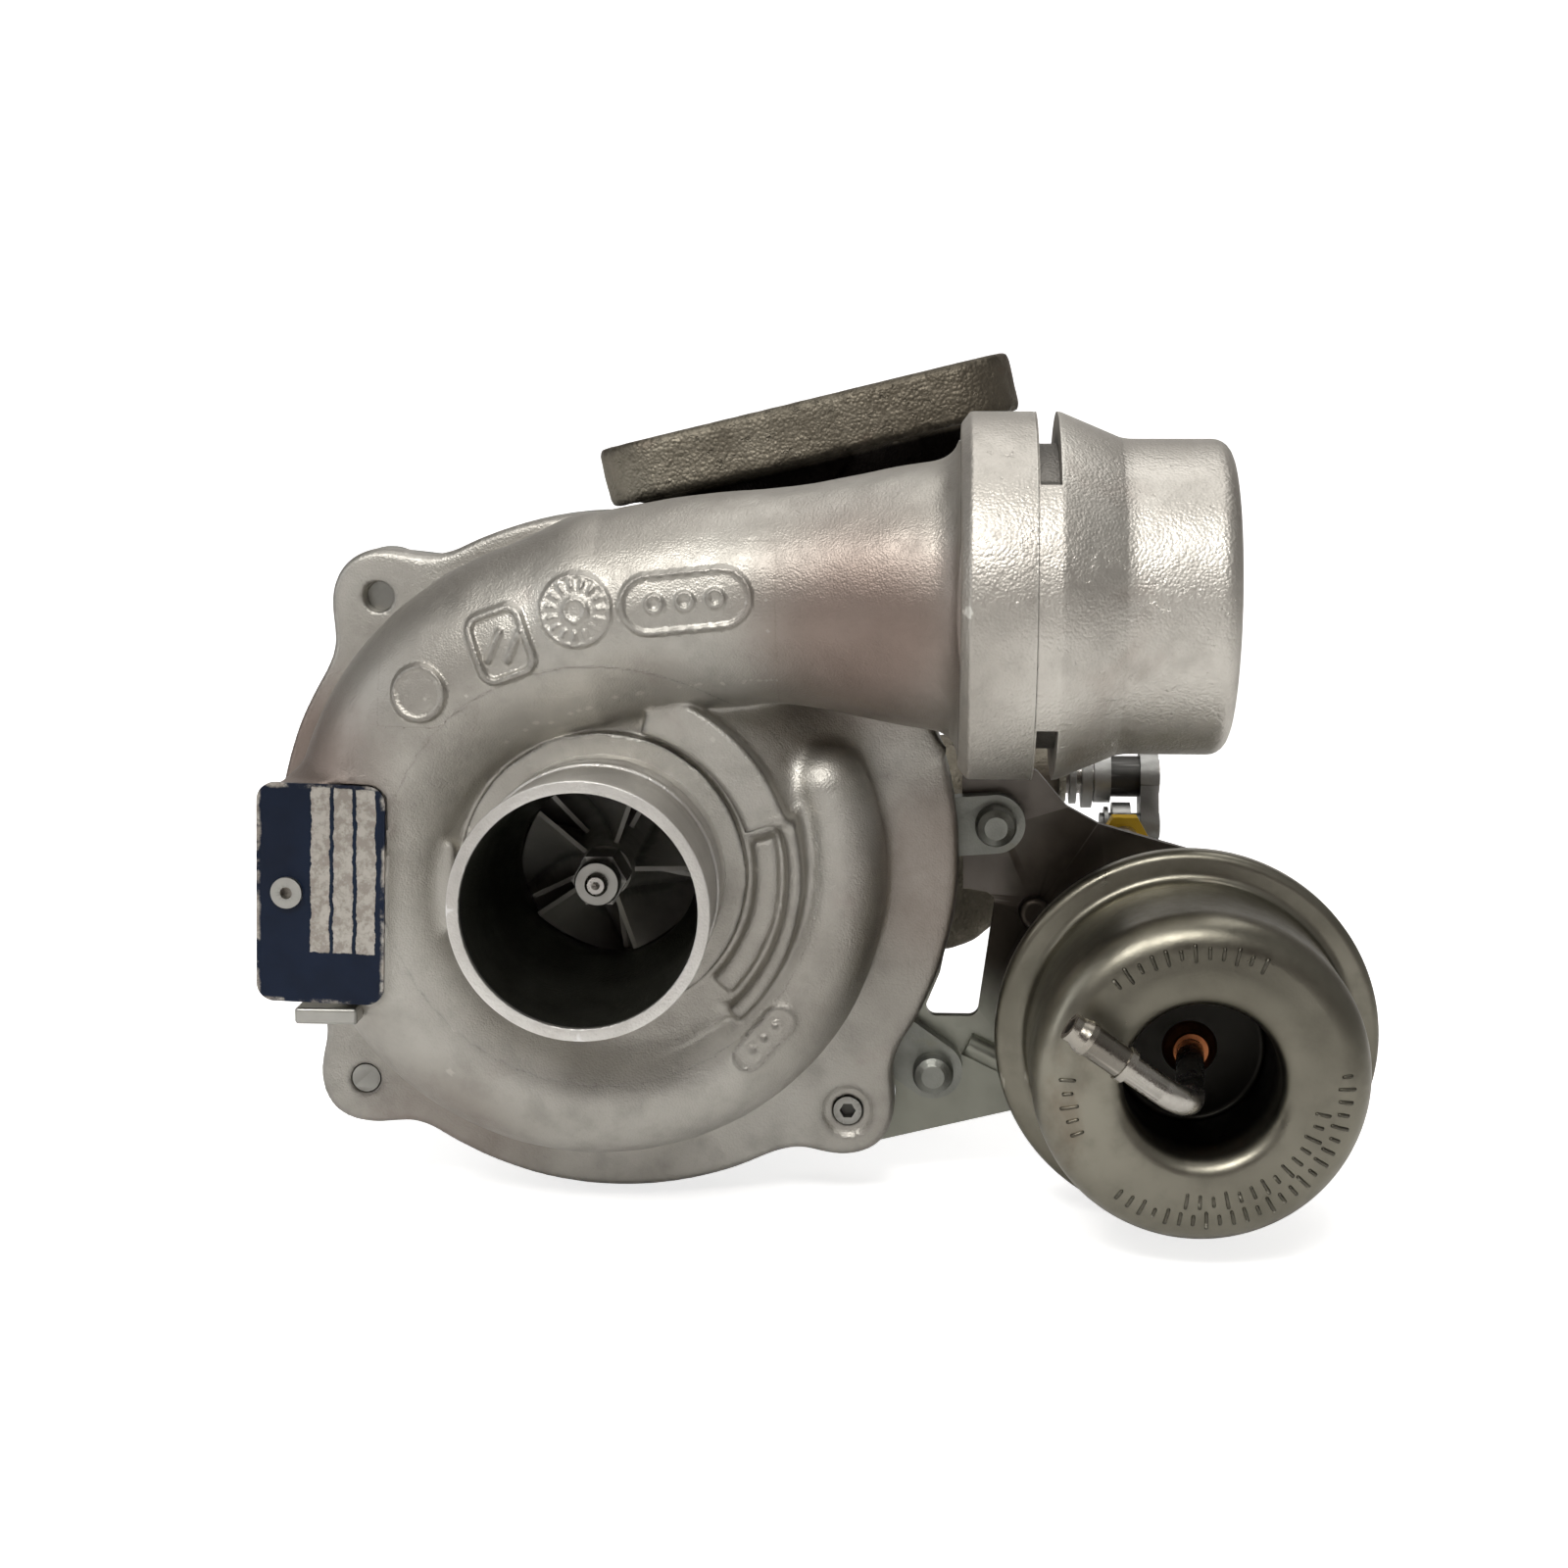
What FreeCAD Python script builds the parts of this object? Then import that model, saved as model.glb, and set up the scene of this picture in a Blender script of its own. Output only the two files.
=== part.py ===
"""Small car-diesel turbocharger: compressor, bearing housing, turbine with wastegate, and actuator.

Frame, in millimetres: the rotor turns about the Y axis. The origin is on that axis in the plane of the
air inlet's rim. +Y runs from the compressor to the turbine, +X is the way the air outlet points, +Z is up.
Angles about the rotor are counted from +X towards +Z.
"""
import FreeCAD, Part
import math
import os

V = FreeCAD.Vector
X_AXIS = V(1, 0, 0)
Y_AXIS = V(0, 1, 0)
Z_AXIS = V(0, 0, 1)
ORIGIN = V(0, 0, 0)

# ---- compressor housing
INLET_RIM_R = 20.7
INLET_NECK_R = 20.0
INLET_BORE_R = 18.5
INLET_BORE_L = 19.0
LEDGE_Y = 32.5
FLANGE_FRONT_Y = 46.0
FLANGE_BACK_Y = 54.0
FLANGE_R = 59.5
EAR_PITCH_R = 60.5
EAR_R = 8.0
EAR_ANGLES = (42, 132, 222, 312)
SCROLL_WALL = 3.0
OUTLET_Y = 36.0
OUTLET_Z = 46.4
COLLAR_X = 58.8
COLLAR_END_X = 74.4
COLLAR_R = 30.2
CONE_END_X = 84.8
PIPE_END_X = 102.6
PIPE_R = 25.8
PIPE_BORE_R = 22.4
SPIGOT_X = 62.8
TUBE_BLOCK_X = 24.0
TUBE_BLOCK_Z = 24.0
COLLAR_ROOM_R = 31.0
COLLAR_ROOM_X = 57.2
CLIP_SLOT_X = (71.0, 74.4)
CLIP_SLOT_DEPTH = 12.0
BOLT_TIP_Y = {42: 49.4, 132: 49.0, 222: 46.3, 312: 46.3}

# ---- nameplate, turned a little; places are (x, z)
PLATE_X = (-56.8, -35.4)
PLATE_Z = (-20.8, 16.1)
PLATE_Y = 22.4
PLATE_T = 0.8
PLATE_CORNER_R = 3.0
PLATE_TURN = -1.9
RIVET = (-51.6, -2.0)
RIVET_SHANK_R = 1.5
RIVET_DEPTH = 5.0
TAB_CORNER = V(-51.2, 22.6, -24.6)
TAB_SIZE = (10.6, 5.0, 2.8)

# ---- compressor wheel
INDUCER_Y = 38.0
INDUCER_R = 15.0
EXDUCER_R = 20.5
EXDUCER_Y = 50.5
WHEEL_BACK_Y = 54.2
WHEEL_GAP = 0.3
BLADES = 5
NUT_FRONT_Y = 22.0
NOSE_R = 1.9

# ---- rotor, bearings and bearing housing
SHAFT_R = 3.5
BUSH_R = 5.75
BEARING_BORE_R = 5.80
FRONT_BUSH_Y = 69.0
REAR_BUSH_Y = 80.0
BUSH_LENGTH = 5.5
BACKPLATE_T = 4.0
SCREW_ANGLES = (45, 135, 225, 315)
SCREW_PITCH_R = 34.0
CENTRE_FLANGE_R = 40.0
CENTRE_FLANGE_END_Y = 64.0
CENTRE_BODY_R = 26.0
REAR_FLANGE_R = 33.0
REAR_FLANGE_Y = 85.0
CENTRE_END_Y = 90.0
OIL_Y = 72.5
OIL_INLET_Z = 36.0
OIL_INLET_TURN = 14.0
OIL_BOSS_R = 9.0
OIL_INLET_R = 4.25
OIL_WAY_R = 2.0
OIL_THREAD_R = 4.0
OIL_THREAD_L = 8.0
DRAIN_Z = -42.0
DRAIN_FLANGE_T = 6.0
DRAIN_BOSS_R = 9.7
DRAIN_R = 6.5
DRAIN_SPACING = 36.0
DRAIN_HOLE_R = 2.5

# ---- turbine
TURBINE_BACK_Y = 94.5
TURBINE_R = 19.0
TURBINE_TIP_Y = 103.5
TURBINE_EXIT_Y = 112.0
TURBINE_EXIT_R = 15.5
TURBINE_BLADES = 9
TURBINE_SCROLL_Y = 103.0
TURBINE_WALL = 3.6
INLET_TILT = 13.5
INLET_TOP = V(30.2, 99.0, 78.0)
INLET_FLANGE_T = 10.8
INLET_PCD = 62.2
INLET_CORNER_R = 11.5
INLET_HOLE_R = 4.5
INLET_BORE_TOP_R = 15.5
CHAMBER_Y = 112.0
CHAMBER_OUT = ((0, 0, 24.5), (30.0, -6.0, 19.5))
CHAMBER_IN = ((0, 0, 20.5), (30.0, -6.0, 15.5))
LOBE = (53.5, -11.0)
LOBE_R = 15.0
LOBE_Y = (98.0, 130.0)
DUCT_FOOT_Z = 43.5
GUSSET_Y = (89.5, 97.5)
GUSSET_HALF = (32.0, 25.0)
GUSSET_FOOT = 31.0
OUTLET_BLOCK_Y = 130.5
CLAMP_ANGLES = (20, 70, 128, 160, 200, 235, 305, 340)
CLAMP_PITCH_R = 38.4
CLAMP_ROOM_R = 43.0
OUTLET_FACE_Y = 144.0
OUTLET_PCD = 92.0
OUTLET_CENTRE = V(14.0, 144.0, -3.0)
OUTLET_HOLE_R = 3.4

# ---- wastegate
SPINDLE = V(0, 120.0, 3.4)
SPINDLE_R = 3.5
SPINDLE_BORE_R = 3.56
FLAP_X = 31.5
FLAP_Z = -10.5
FLAP_R = 8.5
PORT_R = 6.0
SEAT_Y = 118.0
LEVER_ARM = 10.0
LEVER_LAG = 20.5
PIN_R = 2.5
EYE_X = (90.6, 94.2)
ARM_X = (96.1, 99.7)
HUB_X = (87.0, 90.3)
EYE_R = 5.0

# ---- actuator
CAN = V(98.3, 0, -28.9)
CAN_FRONT_Y = 10.0
CAN_R = 27.2
CRIMP_R = 32.5
RECESS_R = 12.6
RECESS_Y = 33.0
CAN_BACK_Y = 58.0
SHEET = 1.2
ROD_R = 2.5
ROD_X = 92.4
SPRING_R = 17.0
SPRING_WIRE_R = 1.3
SPRING_TURNS = 3.5
SPRING_STEPS = 12
STUD_R = 2.45
STUD_SPREAD = 14.0
NIPPLE_R = 2.3
NIPPLE_PATH = (V(98.5, 34.0, -28.9), V(95.4, 3.2, -30.9), V(76.4, 1.2, -17.2))

# ---- bracket
BRACKET_Y = 58.0
BRACKET_T = 2.2
LUG_SCREWS = ((65.9, 5.0), (55.4, -39.6))
BRACKET_OUTLINE = ((60.0, 14.0), (72.9, 14.2), (78.5, 7.6), (84.0, 4.6), (101.0, -0.2), (122.0, -18.0),
                   (122.0, -42.0), (106.0, -52.0), (90.0, -50.0), (71.5, -47.4), (40.5, -55.2),
                   (38.0, -50.5), (49.8, -34.5), (60.5, -11.0))
LOCATING_PIN = (73.0, -11.2)
LOCATING_PIN_R = 2.8
RIB_R = 2.2
RIB = (V(61.5, 57.9, -35.6), V(68.5, 57.9, -39.0))
BRACKET_WINDOW = ((59.5, -7.0), (66.2, -8.2), (63.2, -30.6), (53.2, -30.6), (56.5, -22.5))


def on_circle(radius, degrees, y=0.0):
    """Point at an angle about the rotor axis."""
    angle = math.radians(degrees)
    return V(radius * math.cos(angle), y, radius * math.sin(angle))


def closed(solid):
    """The same solid, turned right side out if its faces point inwards."""
    if solid.Volume < 0:
        solid.reverse()
    return solid


def turned(profile, x=0.0, z=0.0):
    """Solid of revolution about the line parallel to Y through (x, z). profile is (y, radius) corners."""
    points = [V(radius, y, 0) for y, radius in profile]
    face = Part.Face(Part.makePolygon(points + points[:1]))
    solid = closed(Part.Solid(face.revolve(ORIGIN, Y_AXIS, 360)))
    solid.translate(V(x, 0, z))
    return solid


def bar_y(radius, y0, y1, x=0.0, z=0.0):
    """Cylinder along Y."""
    return Part.makeCylinder(radius, y1 - y0, V(x, y0, z), Y_AXIS)


def bar_x(radius, x0, x1, y, z):
    """Cylinder along X."""
    return Part.makeCylinder(radius, x1 - x0, V(x0, y, z), X_AXIS)


def tube_y(outer, inner, y0, y1, x=0.0, z=0.0):
    """Tube along Y."""
    return bar_y(outer, y0, y1, x, z).cut(bar_y(inner, y0 - 1, y1 + 1, x, z))


def tube_x(outer, inner, x0, x1, y, z):
    """Tube along X."""
    return bar_x(outer, x0, x1, y, z).cut(bar_x(inner, x0 - 1, x1 + 1, y, z))


def rounded_wire(corners, radius):
    """Closed outline of points with every corner rounded by a tangent arc."""
    edges = []
    starts = []
    ends = []
    middles = []
    count = len(corners)
    for i, corner in enumerate(corners):
        before = (corners[i - 1] - corner).normalize()
        after = (corners[(i + 1) % count] - corner).normalize()
        half = before.getAngle(after) / 2
        reach = radius / math.tan(half)
        inwards = (before + after).normalize()
        starts.append(corner + before * reach)
        ends.append(corner + after * reach)
        middles.append(corner + inwards * (radius / math.sin(half) - radius))
    for i in range(count):
        edges.append(Part.Arc(starts[i], middles[i], ends[i]).toShape())
        gap = starts[(i + 1) % count] - ends[i]
        if gap.Length > 1e-4:
            edges.append(Part.makeLine(ends[i], starts[(i + 1) % count]))
    return Part.Wire(edges)


def plate_y(outline, radius, y0, y1):
    """Plate with rounded corners, in the XZ plane, between two Y planes. outline is (x, z) corners."""
    corners = [V(x, y0, z) for x, z in outline]
    face = Part.Face(rounded_wire(corners, radius))
    return closed(face.extrude(V(0, y1 - y0, 0)))


def plate_z(outline, radius, z0, z1):
    """Plate with rounded corners, in the XY plane, between two Z planes. outline is (x, y) corners."""
    corners = [V(x, y, z0) for x, y in outline]
    face = Part.Face(rounded_wire(corners, radius))
    return closed(face.extrude(V(0, 0, z1 - z0)))


def hexagon(across_flats, y0, y1, x=0.0, z=0.0, turn=0.0):
    """Hexagonal prism along Y."""
    corner_r = across_flats / math.sqrt(3)
    points = [V(x, y0, z) + on_circle(corner_r, turn + 60 * i) for i in range(7)]
    return closed(Part.Face(Part.makePolygon(points)).extrude(V(0, y1 - y0, 0)))


def stadium(centres, y0, y1):
    """Hull of two discs along Y. centres is (x, z, radius) twice."""
    (xa, za, ra), (xb, zb, rb) = centres
    along = V(xb - xa, 0, zb - za)
    distance = along.Length
    heading = math.atan2(along.z, along.x)
    spread = math.acos((ra - rb) / distance)
    corners = []
    for x, z, r, side in ((xa, za, ra, 1), (xb, zb, rb, 1), (xb, zb, rb, -1), (xa, za, ra, -1)):
        corners.append(V(x, y0, z) + on_circle(r, math.degrees(heading + side * spread)))
    bridge = Part.Face(Part.makePolygon(corners + corners[:1])).extrude(V(0, y1 - y0, 0))
    return bar_y(ra, y0, y1, xa, za).multiFuse([bar_y(rb, y0, y1, xb, zb), closed(bridge)]).removeSplitter()


def ring_with_gap(outer, inner, y0, y1, gap):
    """Split ring, such as a circlip or a piston ring."""
    slot = Part.makeBox(outer + 2, y1 - y0 + 2, gap, V(0, y0 - 1, -gap / 2))
    return tube_y(outer, inner, y0, y1).cut(slot)


def circle_section(centre, direction, radius):
    """Round wire square to a direction."""
    return Part.Wire(Part.makeCircle(radius, centre, direction))


def smooth_edge(points):
    """Edge through a row of points."""
    curve = Part.BSplineCurve()
    curve.interpolate(points)
    return curve.toShape()


def bent_tube(points, radii, radius):
    """Round bar along straight runs joined by tangent arcs."""
    edges = []
    last = points[0]
    for i in range(1, len(points) - 1):
        corner = points[i]
        before = (points[i - 1] - corner).normalize()
        after = (points[i + 1] - corner).normalize()
        half = before.getAngle(after) / 2
        bend = radii[i - 1]
        reach = bend / math.tan(half)
        inwards = (before + after).normalize()
        start = corner + before * reach
        end = corner + after * reach
        middle = corner + inwards * (bend / math.sin(half) - bend)
        edges.append(Part.makeLine(last, start))
        edges.append(Part.Arc(start, middle, end).toShape())
        last = end
    edges.append(Part.makeLine(last, points[-1]))
    profile = circle_section(points[0], points[1] - points[0], radius)
    return closed(Part.Wire(edges).makePipeShell([profile], True, False))


# ------------------------------------------------------------------ compressor housing

def scroll_station(wrap, inset):
    """Scroll section at wrap 0 (tongue) to 1 (top): centre, direction and radius, less the wall."""
    angle = 20 - 270 * wrap
    radius = 7.6 + 9.2 * wrap
    centre = on_circle(38.8 + 1.0 * wrap, angle, 41.5 - 0.55 * (radius - 7.6))
    direction = on_circle(1.0, angle - 90)
    return circle_section(centre, direction, radius - inset)


def outlet_station(x, z, radius, inset):
    """Section of the straight outlet tube."""
    return circle_section(V(x, OUTLET_Y, z), X_AXIS, radius - inset)


def scroll(inset):
    """Scroll and outlet tube as one lofted solid, smaller all round by the inset."""
    wires = [scroll_station(i / 11, inset) for i in range(12)]
    wires.append(outlet_station(0, 42.5, 17.7, inset))
    wires.append(outlet_station(15, 45.0, 17.8, inset))
    wires.append(outlet_station(30, 46.2, 17.9, inset))
    wires.append(outlet_station(44, 46.2, 19.6, inset))
    wires.append(outlet_station(COLLAR_X + 1, OUTLET_Z, 22.4, inset))
    return closed(Part.makeLoft(wires, True, False))


def shroud_profile(gap):
    """Curve over the compressor blades' tips, as (y, radius), with a gap to the blades."""
    points = []
    for i in range(9):
        t = math.radians(90 * i / 8)
        y = INDUCER_Y + (EXDUCER_Y - INDUCER_Y - gap) * math.sin(t)
        points.append((y, INDUCER_R + gap + (EXDUCER_R - INDUCER_R) * (1 - math.cos(t))))
    return points


def ear(angle, y0, y1):
    """Bolt ear: a round corner joined to the flange by straight sides."""
    tip = bar_y(EAR_R, y0, y1, *on_circle(EAR_PITCH_R, angle)[::2])
    corners = [on_circle(EAR_PITCH_R, angle) + on_circle(EAR_R, angle + 65)]
    corners.append(on_circle(EAR_PITCH_R, angle) + on_circle(EAR_R, angle - 65))
    corners.append(on_circle(FLANGE_R - 4, angle - 18))
    corners.append(on_circle(FLANGE_R - 4, angle + 18))
    corners = [V(c.x, y0, c.z) for c in corners]
    web = Part.Face(Part.makePolygon(corners + corners[:1])).extrude(V(0, y1 - y0, 0))
    return tip.fuse(closed(web))


def collar():
    """Turned hose spigot at the outlet: collar, snap edge, cone and pipe."""
    profile = [(COLLAR_X, 0), (COLLAR_X, 28.6), (COLLAR_X + 1.6, COLLAR_R), (COLLAR_END_X, COLLAR_R)]
    profile += [(CONE_END_X, PIPE_R), (PIPE_END_X - 3, PIPE_R), (PIPE_END_X - 0.8, PIPE_R - 1.0)]
    profile += [(PIPE_END_X, PIPE_R - 2.8), (PIPE_END_X, 0)]
    body = turned(profile)
    body.rotate(ORIGIN, Z_AXIS, -90)
    body.translate(V(0, OUTLET_Y, OUTLET_Z))
    return body


def clip_slots():
    """Cuts above and below the collar where a hose clip's legs pass."""
    x0, x1 = CLIP_SLOT_X
    slots = []
    for side in (1, -1):
        low = OUTLET_Z + side * (COLLAR_R - CLIP_SLOT_DEPTH / 2 + 1)
        box = Part.makeBox(x1 - x0, 2 * COLLAR_R, CLIP_SLOT_DEPTH, V(x0, OUTLET_Y - COLLAR_R, low))
        box.translate(V(0, 0, -CLIP_SLOT_DEPTH / 2))
        core = bar_x(PIPE_BORE_R + 2.6, x0 - 1, x1 + 1, OUTLET_Y, OUTLET_Z)
        slots.append(box.cut(core))
    return slots


def wedge(inner, outer, a0, a1, y0, y1):
    """Flat ring piece between two angles, cut out of a full ring by a fan of points."""
    steps = max(2, int((a1 - a0) / 15))
    fan = [V(0, y0, 0)]
    for i in range(steps + 1):
        point = on_circle(outer * 1.2, a0 + (a1 - a0) * i / steps)
        fan.append(V(point.x, y0, point.z))
    cutter = Part.Face(Part.makePolygon(fan + fan[:1])).extrude(V(0, y1 - y0, 0))
    return tube_y(outer, inner, y0, y1).common(closed(cutter))


def compressor_casting():
    """Cast scroll with its inlet tube, four-ear flange, outlet and collar."""
    front = [(0, 0), (0, INLET_RIM_R), (2.6, INLET_RIM_R), (3.6, INLET_NECK_R), (18.6, INLET_NECK_R)]
    front += [(19.0, 20.6), (20.4, 20.6), (21.0, 19.8), (24.0, 19.8), (25.0, 20.5), (LEDGE_Y, 20.5)]
    front += [(LEDGE_Y, 31.5), (36, 34), (FLANGE_FRONT_Y, 46), (FLANGE_FRONT_Y, FLANGE_R)]
    front += [(FLANGE_BACK_Y, FLANGE_R), (FLANGE_BACK_Y, 0)]
    body = turned(front)
    solids = [ear(angle, FLANGE_FRONT_Y, FLANGE_BACK_Y) for angle in EAR_ANGLES]
    solids.append(scroll(0))
    solids.append(collar())
    solids.append(wedge(24.5, 32.3, 17.5, 74.5, 29.6, 38))
    solids.append(plate_y([(-33, -10), (-25, -10), (-25, 5), (-33, 5)], 1.5, 29.5, 40))
    solids.append(nameplate_pad())
    body = body.multiFuse(solids)
    core = [(-1, 0), (-1, INLET_BORE_R), (INLET_BORE_L, INLET_BORE_R), (INLET_BORE_L, INLET_BORE_R - 0.3)]
    core += [(28.5, INLET_BORE_R - 0.3), (35.5, INDUCER_R + WHEEL_GAP)]
    core += shroud_profile(WHEEL_GAP)
    core += [(EXDUCER_Y - WHEEL_GAP, 34), (42, 34.5), (42, 40), (53.4, 40), (53.4, 50), (60, 50), (60, 0)]
    cuts = [turned(core), scroll(SCROLL_WALL)]
    cuts.append(bar_x(PIPE_BORE_R - 2.6, COLLAR_X - 1, SPIGOT_X + 2, OUTLET_Y, OUTLET_Z))
    cuts.append(bar_x(PIPE_BORE_R, SPIGOT_X, PIPE_END_X + 1, OUTLET_Y, OUTLET_Z))
    cuts += clip_slots()
    cuts += nameplate_seat()
    cuts += [bolt_shank(angle, 2.55) for angle in EAR_ANGLES]
    for angle in EAR_ANGLES[1:]:
        point = on_circle(EAR_PITCH_R, angle)
        cuts.append(bar_y(2.55, FLANGE_FRONT_Y - 2, FLANGE_BACK_Y + 1, point.x, point.z))
    spot = on_circle(EAR_PITCH_R, EAR_ANGLES[3])
    cuts.append(bar_y(4.3, FLANGE_FRONT_Y - 2, FLANGE_FRONT_Y + 1, spot.x, spot.z))
    for cut in cuts:
        body = body.cut(cut)
    return body


def compressor_blocks():
    """The casting in four blocks that meet face to face: scroll, inlet neck, outlet collar and tube."""
    casting = compressor_casting()
    neck_room = bar_y(INLET_RIM_R + 2, -1, INLET_BORE_L)
    collar_room = Part.makeBox(50, 80, 70, V(SPIGOT_X, OUTLET_Y - 40, OUTLET_Z - 35))
    tube_room = Part.makeBox(SPIGOT_X - TUBE_BLOCK_X, 80, 70, V(TUBE_BLOCK_X, 0, TUBE_BLOCK_Z))
    tube_room = tube_room.fuse(bar_x(COLLAR_ROOM_R, COLLAR_ROOM_X, SPIGOT_X, OUTLET_Y, OUTLET_Z))
    scroll_block = casting.cut(neck_room).cut(collar_room)
    blocks = [scroll_block.cut(tube_room), casting.common(neck_room), casting.common(collar_room)]
    return blocks + [scroll_block.common(tube_room)]


def bolt_shank(angle, radius):
    """Shank of the housing bolt at an ear."""
    point = on_circle(EAR_PITCH_R, angle)
    return bar_y(radius, BOLT_TIP_Y[angle] - (0.2 if radius > 2.5 else 0), 58.2, point.x, point.z)


def compressor_bolts():
    """Four cap screws from behind, threaded into the ears."""
    bolts = []
    for angle in EAR_ANGLES:
        point = on_circle(EAR_PITCH_R, angle)
        head = bar_y(4.25, 59.2, 64.2, point.x, point.z)
        head = head.cut(hexagon(4.0, 61.6, 65, point.x, point.z))
        shank = bar_y(2.5, BOLT_TIP_Y[angle], 60, point.x, point.z)
        bolt = head.fuse(shank)
        if angle == 312:
            bolt = bolt.cut(hexagon(2.5, BOLT_TIP_Y[angle] - 1, BOLT_TIP_Y[angle] + 2, point.x, point.z))
        bolts.append(bolt)
    return Part.makeCompound(bolts)


def bolt_washers():
    """Thick round washers under the four housing bolts' heads."""
    rings = []
    for angle in EAR_ANGLES:
        point = on_circle(EAR_PITCH_R, angle)
        rings.append(tube_y(7.6, 2.6, 58.05, 59.15, point.x, point.z))
    return Part.makeCompound(rings)


# ------------------------------------------------------------------ nameplate

def turned_outline(x0, x1, z0, z1):
    """Rectangle in the XZ plane, turned a little about its own middle."""
    middle = V((x0 + x1) / 2, 0, (z0 + z1) / 2)
    points = []
    for x, z in ((x0, z0), (x1, z0), (x1, z1), (x0, z1)):
        arm = V(x, 0, z) - middle
        turn = math.radians(PLATE_TURN)
        across = arm.x * math.cos(turn) - arm.z * math.sin(turn)
        points.append((middle.x + across, middle.z + arm.x * math.sin(turn) + arm.z * math.cos(turn)))
    return points


def nameplate_pad():
    """Cast pad on the scroll's left side that carries the nameplate."""
    outline = turned_outline(PLATE_X[0] + 2, PLATE_X[1] - 0.6, PLATE_Z[0] + 0.4, PLATE_Z[1] - 0.4)
    return plate_y(outline, 2.5, PLATE_Y + PLATE_T, 40)


def nameplate_seat():
    """Room in the casting for the plate, its rivet and the tab under it."""
    plate = plate_y(turned_outline(*PLATE_X, *PLATE_Z), PLATE_CORNER_R, PLATE_Y - 8, PLATE_Y + PLATE_T)
    shank = bar_y(RIVET_SHANK_R, PLATE_Y, PLATE_Y + RIVET_DEPTH, *RIVET)
    tab = Part.makeBox(TAB_SIZE[0], TAB_SIZE[1], TAB_SIZE[2], TAB_CORNER)
    return [plate, shank, tab]


def nameplate():
    """Thin data plate with rounded corners."""
    plate = plate_y(turned_outline(*PLATE_X, *PLATE_Z), PLATE_CORNER_R, PLATE_Y, PLATE_Y + PLATE_T)
    return plate.cut(bar_y(RIVET_SHANK_R + 0.1, PLATE_Y - 1, PLATE_Y + 2, *RIVET))


def nameplate_rivet():
    """Hollow drive rivet through the plate."""
    head = bar_y(2.6, PLATE_Y - 1.0, PLATE_Y, *RIVET)
    shank = bar_y(RIVET_SHANK_R, PLATE_Y - 0.5, PLATE_Y + RIVET_DEPTH, *RIVET)
    return head.fuse(shank).cut(bar_y(1.0, PLATE_Y - 2, PLATE_Y + 3, *RIVET))


def nameplate_tab():
    """Small sheet-metal tab under the plate's lower edge."""
    tab = Part.makeBox(TAB_SIZE[0], TAB_SIZE[1], TAB_SIZE[2], TAB_CORNER)
    return tab.makeFillet(0.6, tab.Edges)


# ------------------------------------------------------------------ wheels

def blade(hub_line, tip_line, twist, angle, thickness, first=0.0):
    """Thin twisted blade between a hub line and a tip line. Each line gives (y, radius) for s from 0 to 1."""
    rails = {}
    ends = {}
    for side in (-1, 1):
        for name, line in (("hub", hub_line), ("tip", tip_line)):
            points = []
            for i in range(9):
                s = first + (1 - first) * i / 8
                y, radius = line(s)
                turn = math.radians(angle + twist(s)) + side * thickness / 2 / radius
                points.append(V(radius * math.cos(turn), y, radius * math.sin(turn)))
            rails[name, side] = smooth_edge(points)
            ends[name, side] = (points[0], points[-1])
    faces = [Part.makeRuledSurface(rails["hub", side], rails["tip", side]) for side in (-1, 1)]
    faces += [Part.makeRuledSurface(rails[name, -1], rails[name, 1]) for name in ("hub", "tip")]
    for end in (0, 1):
        low = Part.makeLine(ends["hub", -1][end], ends["hub", 1][end])
        high = Part.makeLine(ends["tip", -1][end], ends["tip", 1][end])
        faces.append(Part.makeRuledSurface(low, high))
    shell = Part.makeShell(faces)
    shell.sewShape()
    return closed(Part.makeSolid(shell))


def compressor_hub(s):
    """Hub line of the compressor wheel, (y, radius)."""
    t = math.radians(90 * s)
    return 35.5 + 17.6 * math.sin(t), 4.6 + 15.9 * (1 - math.cos(t))


def compressor_tip(s):
    """Tip line of the compressor blades, (y, radius)."""
    t = math.radians(90 * s)
    rise = EXDUCER_R - INDUCER_R
    return INDUCER_Y + (EXDUCER_Y - INDUCER_Y) * math.sin(t), INDUCER_R + rise * (1 - math.cos(t))


def compressor_twist(s):
    """Degrees that a compressor blade has turned by s."""
    return 58 * (1 - (1 - s) ** 1.7)


def compressor_wheel():
    """Cast aluminium wheel with five full blades and five splitters."""
    profile = [(33.0, 0), (33.0, 4.4), (35.5, 4.6)]
    profile += [compressor_hub(i / 12) for i in range(1, 13)]
    profile += [(WHEEL_BACK_Y, EXDUCER_R), (WHEEL_BACK_Y, 9), (55.0, 7.5), (55.0, 0)]
    wheel = turned(profile)

    def sunk_hub(s):
        y, radius = compressor_hub(s)
        return y + 0.25, radius - 0.25

    blades = []
    for i in range(BLADES):
        angle = 71 + i * 360 / BLADES
        blades.append(blade(sunk_hub, compressor_tip, compressor_twist, angle, 0.8))
        blades.append(blade(sunk_hub, compressor_tip, compressor_twist, angle + 180 / BLADES, 0.8, 0.3))
    wheel = wheel.multiFuse(blades)
    return wheel.cut(bar_y(NOSE_R + 0.02, 30, 60))


def wheel_nut():
    """Nut with a round nose and a hexagon behind it."""
    nut = hexagon(8.0, 25.0, 33.0).common(turned([(24, 0), (24, 4.1), (25.2, 4.7), (33, 4.7), (33, 0)]))
    nut = nut.fuse(turned([(NUT_FRONT_Y, 0), (NUT_FRONT_Y, 3.5), (22.6, 3.75), (25.4, 3.75), (25.4, 0)]))
    return nut.cut(bar_y(NOSE_R + 0.02, 20, 40))


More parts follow.
